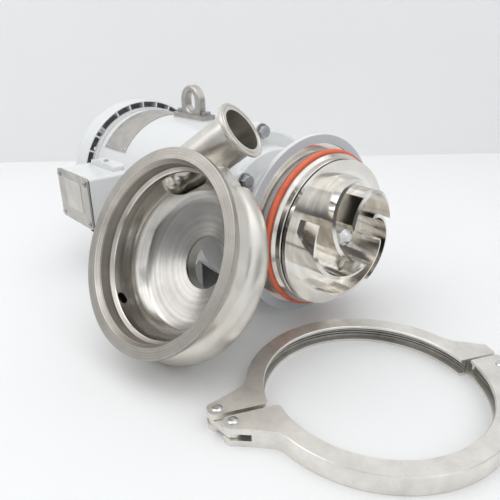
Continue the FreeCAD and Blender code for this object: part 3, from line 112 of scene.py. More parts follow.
def outlet_place() -> Matrix:
    """Place of the outlet's foot in the casing's own frame.

    Returns:
        The matrix, with local Z along the outlet.
    """
    offset, depth = OUTLET_FOOT
    foot = Vector((-math.sin(OUTLET_ANGLE) * offset, math.cos(OUTLET_ANGLE) * offset, -depth)) * MM
    return Matrix.Translation(foot) @ Matrix.Rotation(OUTLET_ANGLE, 4, "Z") @ Matrix.Rotation(math.pi / 2, 4, "Y")


def drain_place() -> Matrix:
    """Place of the drain's axis in the casing's own frame, with local Z outwards."""
    return Matrix.Translation((0.0, 0.0, -DRAIN_DEPTH * MM)) @ Matrix.Rotation(
        DRAIN_ANGLE, 4, "Z") @ Matrix.Rotation(math.pi / 2, 4, "Y")


def clamp_places() -> tuple:
    """Places of the open clamp's pieces on the floor.

    Returns:
        Matrices of the far half, the link and the near half, each with local Z up.
    """
    reach, offset = CLAMP_PIN
    far_turn, link_turn, near_turn = (Matrix.Rotation(math.radians(turn), 4, "Z") for turn in CLAMP_TURNS)
    far = Matrix.Translation(Vector(CLAMP_CENTRE) * MM) @ far_turn
    link = Matrix.Translation(far @ (Vector((-reach, offset, 0.0)) * MM)) @ link_turn
    near_pin = link @ Vector((2 * offset * MM, 0.0, 0.0))
    centre = near_pin - near_turn @ (Vector((-reach, -offset, 0.0)) * MM)
    return far, link, Matrix.Translation(centre) @ near_turn


def on_shaft(x: float) -> Matrix:
    """Place on the pump's axis at x millimetres, with local Z along +X."""
    return Matrix.Translation((x * MM, 0.0, SHAFT_HEIGHT)) @ Matrix.Rotation(math.pi / 2, 4, "Y")


def shift(x: float, y: float, z: float = 0.0) -> Matrix:
    """Move by so many millimetres."""
    return Matrix.Translation(Vector((x, y, z)) * MM)


def lie(place: Matrix) -> tuple:
    """Origin and Euler turn of a pattern that lies in a place."""
    return tuple(place.translation), tuple(place.to_euler())


def arc(centre: tuple, radius: float, start: float, end: float, steps: int = 8) -> list:
    """Points of an arc in the XY plane, angles in degrees."""
    turns = [math.radians(start + (end - start) * step / steps) for step in range(steps + 1)]
    return [(centre[0] + radius * math.cos(turn), centre[1] + radius * math.sin(turn), 0.0) for turn in turns]


def round_section(radius: float, middle: float, step: int) -> list:
    """Round section of a turned ring as (height, radius) pairs, a step of so many degrees apart."""
    return [(radius * math.sin(math.radians(turn)), middle + radius * math.cos(math.radians(turn)))
            for turn in range(0, 360, step)]


class Wire:
    """A shader socket that takes part in arithmetic."""

    def __init__(self, shader: "Shader", socket: bpy.types.NodeSocket) -> None:
        """Keeps the socket and the shader that it belongs to."""
        self.shader = shader
        self.socket = socket

    def maths(self, operation: str, *values: object) -> "Wire":
        """Result of a Math node with an operation and its values, which are numbers or wires."""
        return self.shader.add("ShaderNodeMath", {"operation": operation}, dict(enumerate(values)))

    def __add__(self, other: object) -> "Wire":
        """Sum."""
        return self.maths("ADD", self, other)

    def __radd__(self, other: object) -> "Wire":
        """Sum, reflected."""
        return self.maths("ADD", other, self)

    def __sub__(self, other: object) -> "Wire":
        """Difference."""
        return self.maths("SUBTRACT", self, other)

    def __rsub__(self, other: object) -> "Wire":
        """Difference, reflected."""
        return self.maths("SUBTRACT", other, self)

    def __mul__(self, other: object) -> "Wire":
        """Product."""
        return self.maths("MULTIPLY", self, other)

    def __rmul__(self, other: object) -> "Wire":
        """Product, reflected."""
        return self.maths("MULTIPLY", other, self)

    def power(self, exponent: float) -> "Wire":
        """Power."""
        return self.maths("POWER", self, exponent)

    def clamped(self) -> "Wire":
        """The value held between 0 and 1."""
        return self.maths("MAXIMUM", self.maths("MINIMUM", self, 1.0), 0.0)


class Shader:
    """A material with one Principled surface and the nodes that feed it."""

    def __init__(self, name: str, colour: tuple, roughness: float, metallic: float = 0.0) -> None:
        """Makes the material.

        Args:
            name: The material's name.
            colour: Linear base colour.
            roughness: Roughness of the whole surface.
            metallic: 1 for bare metal.
        """
        self.material = bpy.data.materials.new(name)
        self.material.use_nodes = True
        self.tree = self.material.node_tree
        self.surface = self.tree.nodes["Principled BSDF"]
        self.set("Base Color", (*colour, 1.0))
        self.set("Roughness", roughness)
        self.set("Metallic", metallic)

    def set(self, socket: str, value: object) -> None:
        """Sets or links a socket of the surface."""
        self.feed(self.surface.inputs[socket], value)

    def feed(self, socket: bpy.types.NodeSocket, value: object) -> None:
        """Links a wire to a socket, or gives it a constant.

        Args:
            socket: The socket.
            value: The wire or the constant.
        """
        if isinstance(value, Wire):
            self.tree.links.new(value.socket, socket)
        else:
            socket.default_value = value

    def add(self, kind: str, settings: dict | None = None, sockets: dict | None = None,
            output: int | str = 0) -> Wire:
        """Adds a node.

        Args:
            kind: The node's type.
            settings: Its own settings.
            sockets: Values or wires by socket name or number.
            output: The output that is wanted.
        Returns:
            That output.
        """
        node = self.tree.nodes.new(kind)
        for key, value in (settings or {}).items():
            setattr(node, key, value)
        for key, value in (sockets or {}).items():
            self.feed(node.inputs[key], value)
        return Wire(self, node.outputs[output])

    def place(self, origin: tuple = (0.0, 0.0, 0.0), turn: tuple = (0.0, 0.0, 0.0),
              scale: tuple = (1.0, 1.0, 1.0)) -> Wire:
        """Position on the piece, measured from an origin and turned with it.

        Args:
            origin: Origin of the pattern.
            turn: Euler turn of the pattern's frame.
            scale: Size of the pattern's unit along each of its directions.
        Returns:
            The position.
        """
        here = self.add("ShaderNodeTexCoord", output="Object")
        return self.add("ShaderNodeMapping", {"vector_type": "TEXTURE"},
                        {"Vector": here, "Location": origin, "Rotation": turn, "Scale": scale})

    def parts(self, where: Wire) -> list:
        """X, Y and Z of a position."""
        split = self.add("ShaderNodeSeparateXYZ", {}, {0: where})
        return [Wire(self, output) for output in split.socket.node.outputs]

    def around(self, where: Wire) -> tuple:
        """Distance of a position from its Z axis, and its height along it."""
        x, y, z = self.parts(where)
        return (x * x + y * y).power(0.5), z

    def noise(self, where: Wire, scale: float, detail: float = 2.0, rough: float = 0.5) -> Wire:
        """Noise between 0 and 1 at a position."""
        return self.add("ShaderNodeTexNoise", {}, {"Vector": where, "Scale": scale, "Detail": detail,
                                                   "Roughness": rough})

    def ramp(self, value: Wire, low: float, high: float) -> Wire:
        """Value stretched so that low becomes 0 and high becomes 1, held between them."""
        return self.add("ShaderNodeMapRange", {"clamp": True}, {"Value": value, "From Min": low, "From Max": high})

    def blend(self, factor: Wire, first: Wire | tuple, second: Wire | tuple) -> Wire:
        """Colour that goes from the first to the second with a factor."""
        ends = {place: end if isinstance(end, Wire) else (*end, 1.0) for place, end in ((6, first), (7, second))}
        return self.add("ShaderNodeMix", {"data_type": "RGBA"}, {0: factor, **ends}, 2)

    def bump(self, height: Wire, depth: float = 1.0) -> None:
        """Feeds the surface's normal from a height."""
        self.set("Normal", self.add("ShaderNodeBump", {}, {"Height": height, "Distance": depth, "Strength": 1.0}))


@dataclass(frozen=True)
class Bore:
    """Stepped bore round its place's Z axis, in millimetres, which a finish tells from the rest."""

    place: Matrix
    radius: float
    start: float
    widening: float
    low: float
    high: float
    soft_side: float = 0.15
    soft_start: float = 0.1

    def mask(self, shader: Shader) -> Wire:
        """Mask of the space inside the bore.

        Args:
            shader: The material that is painted.
        Returns:
            1 inside the bore and 0 outside it.
        """
        radius, z = shader.around(shader.place(*lie(self.place)))
        reach = radius - shader.ramp(z, self.low * MM, self.high * MM) * (self.widening * MM)
        inside = shader.ramp(reach, (self.radius + self.soft_side) * MM, self.radius * MM)
        return inside * shader.ramp(z, self.start * MM, (self.start + self.soft_start) * MM)


@dataclass(frozen=True)
class Finish:
    """A finish of some pieces, which a subclass paints."""

    name: str
    colour: tuple
    shade: tuple
    roughness: float
    metallic: ClassVar[float] = 0.0

    def make(self) -> bpy.types.Material:
        """Makes the material and paints it.

        Returns:
            The finished material.
        """
        shader = Shader(self.name, self.colour, self.roughness, self.metallic)
        self.paint(shader)
        return shader.material

    def paint(self, shader: Shader) -> None:
        """Feeds what changes over the surface."""
        raise NotImplementedError


@dataclass(frozen=True)
class Enamel(Finish):
    """Sprayed gloss enamel with a slight orange peel and faint dust, bare where a face was turned."""

    faced_from: float | None = None
    patches: float = 14.0
    dusty: tuple = (0.5, 0.85)
    dust: float = 0.35
    dull: tuple = (0.4, 0.8)
    dulling: float = 0.05
    peel: float = 420.0
    peel_depth: float = 0.000012
    coat: float = 0.2
    coat_roughness: float = 0.14
    faced_colours: tuple = ((0.50, 0.53, 0.57), (0.60, 0.63, 0.66))
    faced_edge: float = 0.1 * MM
    faced_rings: float = 260.0
    faced_grain: tuple = (1.0, 0.2, 0.2)
    faced_metallic: float = 0.15
    faced_dulling: float = 0.3

    def paint(self, shader: Shader) -> None:
        """Paints the enamel.

        Args:
            shader: The material that is painted.
        """
        here = shader.place()
        patch = shader.noise(here, self.patches, detail=5.0, rough=0.6)
        colour = shader.blend(shader.ramp(patch, *self.dusty) * self.dust, self.colour, self.shade)
        roughness = self.roughness + shader.ramp(patch, *self.dull) * self.dulling
        if self.faced_from is not None:
            bare = shader.ramp(shader.parts(here)[0], self.faced_from, self.faced_from + self.faced_edge)
            rings = shader.noise(shader.place(scale=self.faced_grain), self.faced_rings, detail=3.0, rough=0.7)
            colour = shader.blend(bare, colour, shader.blend(rings, *self.faced_colours))
            roughness = roughness + bare * self.faced_dulling
            shader.set("Metallic", bare * self.faced_metallic)
        shader.set("Base Color", colour)
        shader.set("Roughness", roughness)
        shader.set("Coat Weight", self.coat)
        shader.set("Coat Roughness", self.coat_roughness)
        shader.bump(shader.noise(here, self.peel, detail=1.0), self.peel_depth)


@dataclass(frozen=True)
class TurnedSteel(Finish):
    """Steel turned on a lathe: fine rings round an axis, with soft waves in the polish."""

    ring_pitch: float
    wave: float = 0.0
    axis: tuple = ((0.0, 0.0, SHAFT_HEIGHT), (0.0, math.pi / 2, 0.0))
    band_share: float = 0.16
    band_weight: float = 0.6
    clouds: float = 24.0
    cloud_weight: float = 0.4
    worn: tuple = (0.36, 0.64)
    ring_dulling: tuple = (0.7, 0.6)
    worn_dulling: float = 0.35
    waves: float = 9.0
    ring_depth: float = 0.00002
    metallic: ClassVar[float] = 1.0

    def paint(self, shader: Shader) -> None:
        """Paints the rings, the worn patches and the waves.

        Args:
            shader: The material that is painted.
        """
        here = shader.place(*self.axis)
        radius, height = shader.around(here)
        along = shader.add("ShaderNodeCombineXYZ", {}, {0: radius, 1: height})
        rings = shader.noise(along, 1.0 / self.ring_pitch, detail=3.0, rough=0.7)
        bands = shader.noise(along, self.band_share / self.ring_pitch)
        cloud = shader.noise(here, self.clouds, detail=4.0, rough=0.6)
        worn = shader.ramp(bands * self.band_weight + cloud * self.cloud_weight, *self.worn)
        colour = shader.blend(worn, self.colour, self.shade)
        least, more = self.ring_dulling
        roughness = self.roughness * (least + rings * more) + worn * (self.roughness * self.worn_dulling)
        colour, roughness = self.zones(shader, radius, cloud, colour, roughness)
        shader.set("Base Color", colour)
        shader.set("Roughness", roughness.clamped())
        shader.bump(rings * self.ring_depth + shader.noise(here, self.waves) * self.wave)

    def zones(self, shader: Shader, radius: Wire, cloud: Wire, colour: Wire, roughness: Wire) -> tuple:
        """Colour and roughness where the finish changes, which plain turned steel has no need of."""
        return colour, roughness


@dataclass(frozen=True)
class BowlSteel(TurnedSteel):
    """Turned steel of the casing: polished bowl and outlet, satin outside, and the drain's bore painted near-black as
    painted shade.
    """

    outlet: Bore | None = None
    drain: Bore | None = None
    satin_from: float = 0.0935
    satin_width: float = 0.002
    satin: tuple = (0.82, 0.79, 0.73)
    satin_shade: float = 0.8
    satin_dulling: tuple = (0.12, 0.16)
    cone: tuple = (0.080, 0.075)
    # Painted shade for the cone deep in the bowl: its near-black colour and how far the cone is blended towards it.
    cone_painted_dark: tuple = (0.1, 0.1, 0.1)
    cone_painted_shading: float = 0.3
    cone_dulling: float = 0.05
    # Roughness of the drain's bore, which is painted near-black as painted shade.
    drain_shade_dulling: float = 0.3

    def zones(self, shader: Shader, radius: Wire, cloud: Wire, colour: Wire, roughness: Wire) -> tuple:
        """Makes the outside satin, darkens the cone with painted shade and paints the drain's bore near-black as
        painted shade.

        Args:
            shader: The material that is painted.
            radius: Distance from the casing's axis.
            cloud: Soft noise.
            colour: Colour of the turned steel.
            roughness: Its roughness.
        Returns:
            Colour and roughness.
        """
        outside = shader.ramp(radius, self.satin_from, self.satin_from + self.satin_width) * (
            1.0 - self.outlet.mask(shader))
        # Painted shade: the drain's bore is painted near-black.
        hole = self.drain.mask(shader)
        cone = shader.ramp(radius, *self.cone)
        skin = shader.blend(cloud, self.satin, tuple(part * self.satin_shade for part in self.satin))
        # Painted shade darkens the cone before the satin outside is laid over.
        colour = shader.blend(outside, shader.blend(cone * self.cone_painted_shading, colour, self.cone_painted_dark), skin)
        least, more = self.satin_dulling
        roughness = roughness + cone * self.cone_dulling + outside * (cloud * more + least)
        return shader.blend(hole, colour, PAINTED_SHADE_BLACK), roughness + hole * self.drain_shade_dulling


@dataclass(frozen=True)
class SatinSteel(Finish):
    """Steel with a blasted or hand-rubbed satin skin and small scuffs."""

    grain: tuple = (1.0, 1.0, 1.0)
    grit: float = 2600.0
    grit_depth: float = 0.000012
    grit_weight: float = 0.25
    grit_dulling: tuple = (0.82, 0.36)
    clouds: float = 38.0
    clouded: tuple = (0.42, 0.86)
    cloud_dulling: float = 0.1
    scuffs: float = 210.0
    scuffed: tuple = (0.6, 0.78)
    scuff_polish: float = 0.08
    scuff_grain: tuple = (1.0, 7.0, 1.0)
    scuff_depth: float = 0.000006
    metallic: ClassVar[float] = 1.0

    def paint(self, shader: Shader) -> None:
        """Paints the grit, the clouds and the scuffs.

        Args:
            shader: The material that is painted.
        """
        grit = shader.noise(shader.place(scale=self.grain), self.grit, rough=0.7)
        cloud = shader.noise(shader.place(), self.clouds, detail=5.0, rough=0.65)
        scratches = shader.noise(shader.place(scale=self.scuff_grain), self.scuffs, detail=3.0, rough=0.8)
        scuff = shader.ramp(scratches, *self.scuffed)
        colour = shader.blend(shader.ramp(cloud + grit * self.grit_weight, *self.clouded), self.colour, self.shade)
        # A clamp half's channel gets its painted shade here.
        shader.set("Base Color", self.with_painted_shade(shader, cloud, colour))
        least, more = self.grit_dulling
        roughness = self.roughness * (least + grit * more) + cloud * self.cloud_dulling
        shader.set("Roughness", (roughness - scuff * self.scuff_polish).clamped())
        shader.bump(grit * self.grit_depth + scuff * self.scuff_depth)

    def with_painted_shade(self, shader: Shader, cloud: Wire, colour: Wire) -> Wire:
        """Colour with the painted shade of its piece, of which plain satin steel has none."""
        return colour


@dataclass(frozen=True)
class ChannelSteel(SatinSteel):
    """Satin steel of a clamp half, with patchy painted shade in the root and grooves of its channel."""

    place: Matrix | None = None
    root: float = 109.5
    slope: tuple = (104.4, 109.3)
    channel: tuple = (2.9, 16.3)
    edge: float = 0.2
    fade: tuple = (1.2, 1.1)
    groove: tuple = (0.1, 0.4)
    # How dark the painted shade is on the slope and in the grooves.
    slope_shade: float = 0.45
    groove_shade: float = 0.5
    patchiness: tuple = (0.75, 0.4)

    def with_painted_shade(self, shader: Shader, cloud: Wire, colour: Wire) -> Wire:
        """Paints shade on the channel's upper slope, on its root and, most of all, in its grooves.

        Args:
            shader: The material that is painted.
            cloud: Soft noise.
            colour: Colour of the clean steel.
        Returns:
            The colour.
        """
        radius, z = shader.around(shader.place(*lie(self.place)))
        low, high = self.channel
        inside = shader.ramp(z, low * MM, (low + self.edge) * MM) * shader.ramp(z, high * MM, (high - self.edge) * MM)
        near = shader.ramp(radius, *((self.root + reach) * MM for reach in self.fade))
        slope = shader.ramp(radius, *(reach * MM for reach in self.slope)) * self.slope_shade
        grooves = shader.ramp(radius, *((self.root + reach) * MM for reach in self.groove)) * self.groove_shade
        least, more = self.patchiness
        # Painted shade: blended towards near-black, in patches.
        return shader.blend((slope + grooves) * inside * near * (least + cloud * more), colour, PAINTED_SHADE_BLACK)


@dataclass(frozen=True)
class Moulded(Finish):
    """Rubber, plastic or carbon with a fine moulded skin."""

    skin: float = 900.0
    skin_depth: float = 0.00008
    clouds: float = 60.0
    clouded: tuple = (0.45, 0.75)
    cloud_dulling: float = 0.16
    polish: float = 0.08

    def paint(self, shader: Shader) -> None:
        """Paints the clouds and the skin.

        Args:
            shader: The material that is painted.
        """
        here = shader.place()
        cloud = shader.noise(here, self.clouds, detail=4.0, rough=0.6)
        shader.set("Base Color", shader.blend(shader.ramp(cloud, *self.clouded), self.colour, self.shade))
        shader.set("Roughness", (self.roughness + cloud * self.cloud_dulling - self.polish).clamped())
        shader.bump(shader.noise(here, self.skin), self.skin_depth)


@dataclass(frozen=True)
class Laminate(Finish):
    """Stacked electrical sheets: fine lines across the shaft."""

    sheets: float = 320.0
    line_depth: float = 0.0001
    metallic: ClassVar[float] = 0.8

    def paint(self, shader: Shader) -> None:
        """Paints the lines between the sheets.

        Args:
            shader: The material that is painted.
        """
        lines = shader.add("ShaderNodeTexWave", {"wave_type": "BANDS", "bands_direction": "X"},
                           {"Vector": shader.place(), "Scale": self.sheets, "Distortion": 0.0}, "Fac")
        shader.set("Base Color", shader.blend(lines, self.colour, self.shade))
        shader.bump(lines, self.line_depth)


@dataclass(frozen=True)
class Winding(Finish):
    """Lacquered copper wire laid round the stator."""

    wires: float = 700.0
    lay: tuple = (1.0, 6.0, 6.0)
    lit: tuple = (0.35, 0.65)
    wire_depth: float = 0.0004
    metallic: ClassVar[float] = 0.7

    def paint(self, shader: Shader) -> None:
        """Paints the wires.

        Args:
            shader: The material that is painted.
        """
        wires = shader.noise(shader.place(scale=self.lay), self.wires, rough=0.6)
        shader.set("Base Color", shader.blend(shader.ramp(wires, *self.lit), self.shade, self.colour))
        shader.bump(wires, self.wire_depth)


class Palette:
    """All finishes of the pump, by their names."""

    def __init__(self) -> None:
        """Makes each finish once and gives it to the nodes that wear it."""
        self.made = {}
        for finish, *wearers in self.finishes():
            self.made[finish.name] = finish.make()
            for name in wearers:
                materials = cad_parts[name].data.materials
                materials.clear()
                materials.append(self.made[finish.name])

    def __getitem__(self, name: str) -> bpy.types.Material:
        """Material of that name."""
        return self.made[name]

    def finishes(self) -> list:
        """Lists the finishes.

        Returns:
            Tuples of a finish and the names of the nodes that wear it.
        """
        place = casing_place()
        axis = lie(place)
        outlet = Bore(place @ outlet_place(), radius=20.5, start=-8.0, widening=3.9, low=14.0, high=42.0)
        drain = Bore(place @ drain_place(), radius=6.9, start=88.6, widening=-2.6, low=99.6, high=100.0)
        far, _, near = clamp_places()
        clamp = ((0.90, 0.875, 0.82), (0.68, 0.66, 0.62), 0.34)
        return [
            (Enamel("white_enamel", ENAMEL_WHITE, ENAMEL_DUST, 0.24), "motor_frame", "motor_feet", "front_end_bell",
             "rear_end_bell", "fan_cover", "conduit_box"),
            (Enamel("adapter_enamel", ENAMEL_WHITE, ENAMEL_DUST, 0.24, (RING_FRONT - 0.15) * MM), "adapter"),
            (BowlSteel("polished_bowl", (0.74, 0.715, 0.67), (0.46, 0.44, 0.41), 0.15, 0.0009, 0.0012, axis,
                       outlet=outlet, drain=drain), "casing_front"),
            (TurnedSteel("turned_rim", (0.66, 0.62, 0.565), (0.36, 0.335, 0.305), 0.33, 0.0004, axis=axis),
             "casing_rim"),
            (SatinSteel("satin_bowl", (0.80, 0.77, 0.71), (0.58, 0.56, 0.52), 0.3), "volute_casing", "outlet_tube",
             "outlet_ferrule", "suction_ferrule", "drain_boss"),
            (TurnedSteel("polished_drum", (0.82, 0.79, 0.74), (0.62, 0.59, 0.55), 0.13, 0.0008, 0.0008), "backplate"),
            (TurnedSteel("polished_impeller", (0.88, 0.85, 0.80), (0.70, 0.68, 0.64), 0.1, 0.0012, 0.0010),
             "impeller"),
            (SatinSteel("satin_clamp", *clamp), "clamp_far_half", "clamp_near_half", "clamp_link"),
            (ChannelSteel("satin_far_clamp", *clamp, place=far),),
            (ChannelSteel("satin_near_clamp", *clamp, place=near),),
            (SatinSteel("brushed_plate", (0.60, 0.58, 0.54), (0.44, 0.42, 0.39), 0.38, (12.0, 1.0, 1.0)),
             "box_cover", "motor_nameplate"),
            (SatinSteel("blank_plate", (0.66, 0.645, 0.60), (0.52, 0.50, 0.47), 0.3),),
            (SatinSteel("satin_eye", (0.62, 0.60, 0.56), (0.42, 0.40, 0.37), 0.36), "lifting_eye"),
            (SatinSteel("bolt_steel", (0.52, 0.52, 0.53), (0.3, 0.3, 0.31), 0.22), "end_bell_bolts", "adapter_bolts",
             "fan_cover_screws", "box_cover_screws", "nameplate_rivets", "lifting_eye_screws"),
            (SatinSteel("bright_steel", (0.74, 0.74, 0.74), (0.6, 0.6, 0.6), 0.12), "impeller_nut", "link_pins",
             "swing_bolt_pin", "clamp_nut", "swing_bolt"),
            (Moulded("coral_rubber", (0.80, 0.17, 0.075), (0.66, 0.11, 0.05), 0.42), "casing_o_ring"),
            (Moulded("black_rubber", (0.018, 0.018, 0.018), (0.03, 0.03, 0.03), 0.6), "box_gasket"),
            (Moulded("black_plastic", (0.022, 0.022, 0.023), (0.035, 0.035, 0.035), 0.45), "cooling_fan", "box_plug"),
            (Moulded("seal_carbon", (0.03, 0.03, 0.032), (0.05, 0.05, 0.05), 0.35, 300.0), "seal_carbon"),
            (Moulded("seal_ceramic", (0.72, 0.68, 0.58), (0.66, 0.62, 0.52), 0.2, 300.0), "seal_seat"),
            (TurnedSteel("ground_shaft", (0.56, 0.56, 0.57), (0.44, 0.44, 0.45), 0.26, 0.0006), "motor_shaft",
             "stub_shaft", "stub_collar", "seal_drive_cup"),
            (TurnedSteel("bearing_steel", (0.60, 0.60, 0.62), (0.5, 0.5, 0.5), 0.16, 0.0008), "front_bearing",
             "rear_bearing"),
            (Laminate("core_sheets", (0.16, 0.16, 0.17), (0.07, 0.07, 0.08), 0.5), "stator_core", "rotor_core"),
            (Winding("copper_winding", (0.62, 0.26, 0.10), (0.20, 0.07, 0.03), 0.32), "stator_windings"),
        ]


class Bench:
    """Workbench on which new pieces are traced, turned, cut and finished."""

    def clear(self) -> None:
        """Leaves edit mode and lets go of everything."""
        if bpy.context.mode != "OBJECT":
            bpy.ops.object.mode_set(mode="OBJECT")
        bpy.ops.object.select_all(action="DESELECT")

    def hold(self, piece: bpy.types.Object) -> None:
        """Selects one piece alone and makes it active.

        Args:
            piece: The piece.
        """
        self.clear()
        piece.select_set(True)
        bpy.context.view_layer.objects.active = piece

    def trace(self, name: str, points: list) -> bpy.types.Object:
        """Draws a line through points, extruded from a plane merged to its middle.

        Args:
            name: The piece's name.
            points: Corners in millimetres, at least three.
        Returns:
            The piece, in edit mode with all of its line selected.
        """
        self.clear()
        corners = [Vector(point) * MM for point in points]
        bpy.ops.mesh.primitive_plane_add(size=MM)
        piece = bpy.context.object
        piece.name = name
        piece.data.name = name
        bpy.ops.object.mode_set(mode="EDIT")
        bpy.ops.mesh.select_all(action="SELECT")
        bpy.ops.mesh.merge(type="CENTER")
        bpy.ops.transform.translate(value=corners[0])
        for here, there in zip(corners, corners[1:]):
            bpy.ops.mesh.extrude_vertices_move(TRANSFORM_OT_translate={"value": there - here})
        bpy.ops.mesh.select_all(action="SELECT")
        return piece

    def outwards(self, piece: bpy.types.Object) -> bpy.types.Object:
        """Turns the faces of a piece in edit mode outwards, and leaves that mode.

        Args:
            piece: The piece.
        Returns:
            The piece, alone in hand.
        """
        bpy.ops.mesh.select_all(action="SELECT")
        bpy.ops.mesh.normals_make_consistent(inside=False)
        self.hold(piece)
        return piece

    def turned(self, name: str, profile: list, steps: int) -> bpy.types.Object:
        """Turns a closed profile about the Z axis.

        Args:
            name: The piece's name.
            profile: (height, radius) pairs in millimetres.
            steps: Sides of the turned piece.
        Returns:
            The piece, with its faces outwards.
        """
        piece = self.trace(name, [(radius, 0.0, height) for height, radius in profile])
        bpy.ops.mesh.edge_face_add()
        bpy.ops.mesh.delete(type="ONLY_FACE")
        bpy.ops.mesh.select_all(action="SELECT")
        bpy.ops.mesh.spin(steps=steps, angle=math.tau, center=(0.0, 0.0, 0.0), axis=(0.0, 0.0, 1.0))
        bpy.ops.mesh.select_all(action="SELECT")
        bpy.ops.mesh.remove_doubles(threshold=MERGE_WITHIN)
        bpy.ops.mesh.dissolve_degenerate(threshold=SLIVER)
        return self.outwards(piece)

    def raised(self, name: str, outline: list, height: float) -> bpy.types.Object:
        """Raises a flat outline into a plate.

        Args:
            name: The piece's name.
            outline: (x, y, z) corners in millimetres, all at one height.
            height: How far it is raised along Z, in millimetres.
        Returns:
            The piece, with its faces outwards.
        """
        piece = self.trace(name, outline)
        bpy.ops.mesh.edge_face_add()
        bpy.ops.mesh.extrude_region_move(TRANSFORM_OT_translate={"value": (0.0, 0.0, height * MM)})
        return self.outwards(piece)

    def block(self, low: tuple, high: tuple) -> bpy.types.Object:
        """Plain block used as a cutter, between two corners in millimetres."""
        corners = [(low[0], low[1], low[2]), (high[0], low[1], low[2]), (high[0], high[1], low[2]),
                   (low[0], high[1], low[2])]
        return self.raised("cutter", corners, high[2] - low[2])

    def disc(self, radius: float, low: float, high: float, steps: int = 48) -> bpy.types.Object:
        """Plain round bar used as a cutter, upright on the Z axis."""
        return self.turned("cutter", [(low, 0.0), (low, radius), (high, radius), (high, 0.0)], steps)

    def moved(self, piece: bpy.types.Object, matrix: Matrix) -> bpy.types.Object:
        """Puts a piece in its place and keeps the place in its mesh.

        Args:
            piece: The piece.
            matrix: Its place.
        Returns:
            The piece, alone in hand.
        """
        self.hold(piece)
        piece.matrix_world = matrix
        bpy.ops.object.transform_apply(location=True, rotation=True, scale=True)
        return piece

    def mirrored(self, piece: bpy.types.Object, way: Way) -> bpy.types.Object:
        """Mirrors a piece in the plane through the origin that faces a way.

        Args:
            piece: The piece.
            way: The way.
        Returns:
            The piece, alone in hand, with its faces outwards.
        """
        self.moved(piece, Matrix.Scale(-1.0, 4, way.value))
        bpy.ops.object.mode_set(mode="EDIT")
        return self.outwards(piece)

    def apply(self, piece: bpy.types.Object, kind: str, **settings: object) -> None:
        """Puts a modifier on a piece and applies it.

        Args:
            piece: The piece.
            kind: The modifier's type.
            settings: Its settings.
        """
        self.hold(piece)
        modifier = piece.modifiers.new(kind.lower(), kind)
        for key, value in settings.items():
            setattr(modifier, key, value)
        bpy.ops.object.modifier_apply(modifier=modifier.name)

    def combine(self, piece: bpy.types.Object, tool: bpy.types.Object, operation: str = "DIFFERENCE") -> None:
        """Cuts, joins or crosses a piece with a tool, which is used up."""
        self.apply(piece, "BOOLEAN", operation=operation, solver="EXACT", object=tool)
        bpy.data.objects.remove(tool)

    def softened(self, piece: bpy.types.Object, width: float = 0.0, angle: float = 32.0) -> None:
        """Rounds the sharp edges and shades the rest smoothly.

        Args:
            piece: The piece.
            width: Width of the rounding in millimetres, or 0 for none.
            angle: Edges sharper than this, in degrees, are rounded.
        """
        limit = math.radians(angle)
        if width > 0:
            self.apply(piece, "BEVEL", width=width * MM, segments=2, limit_method="ANGLE", angle_limit=limit,
                       miter_outer="MITER_ARC")
        self.hold(piece)
        bpy.ops.object.shade_smooth_by_angle(angle=limit)
        if width > 0:
            self.apply(piece, "WEIGHTED_NORMAL", weight=80, keep_sharp=True)

    def melted(self, piece: bpy.types.Object, voxel: float, rounds: int) -> None:
        """Melts the joins of a piece together, as welds that were ground smooth.

        Args:
            piece: The piece.
            voxel: Size of the new faces in millimetres.
            rounds: How often they are smoothed.
        """
        self.apply(piece, "REMESH", mode="VOXEL", voxel_size=voxel * MM)
        self.apply(piece, "SMOOTH", factor=0.5, iterations=rounds)

    def hand_over(self, piece: bpy.types.Object, finish: bpy.types.Material, body: Body, slot: str,
                  *nodes: str) -> None:
        """Gives a piece its finish, its body and the nodes that it stands for.

        Args:
            piece: The piece.
            finish: Its material.
            body: The body that it rides on.
            slot: Not used.
            nodes: Names of the nodes that it replaces.
        """
        piece.data.materials.clear()
        piece.data.materials.append(finish)
        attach(piece, body.value)
        if nodes:
            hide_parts(*nodes)
        LOG.info("%s: %d faces", piece.name, len(piece.data.polygons))


@dataclass
class Assembly:
    """Sub-assembly of new pieces, whose sizes are fields in millimetres."""

    bench: Bench
    palette: Palette

    def build(self) -> None:
        """Builds the pieces and hands them over."""
        raise NotImplementedError


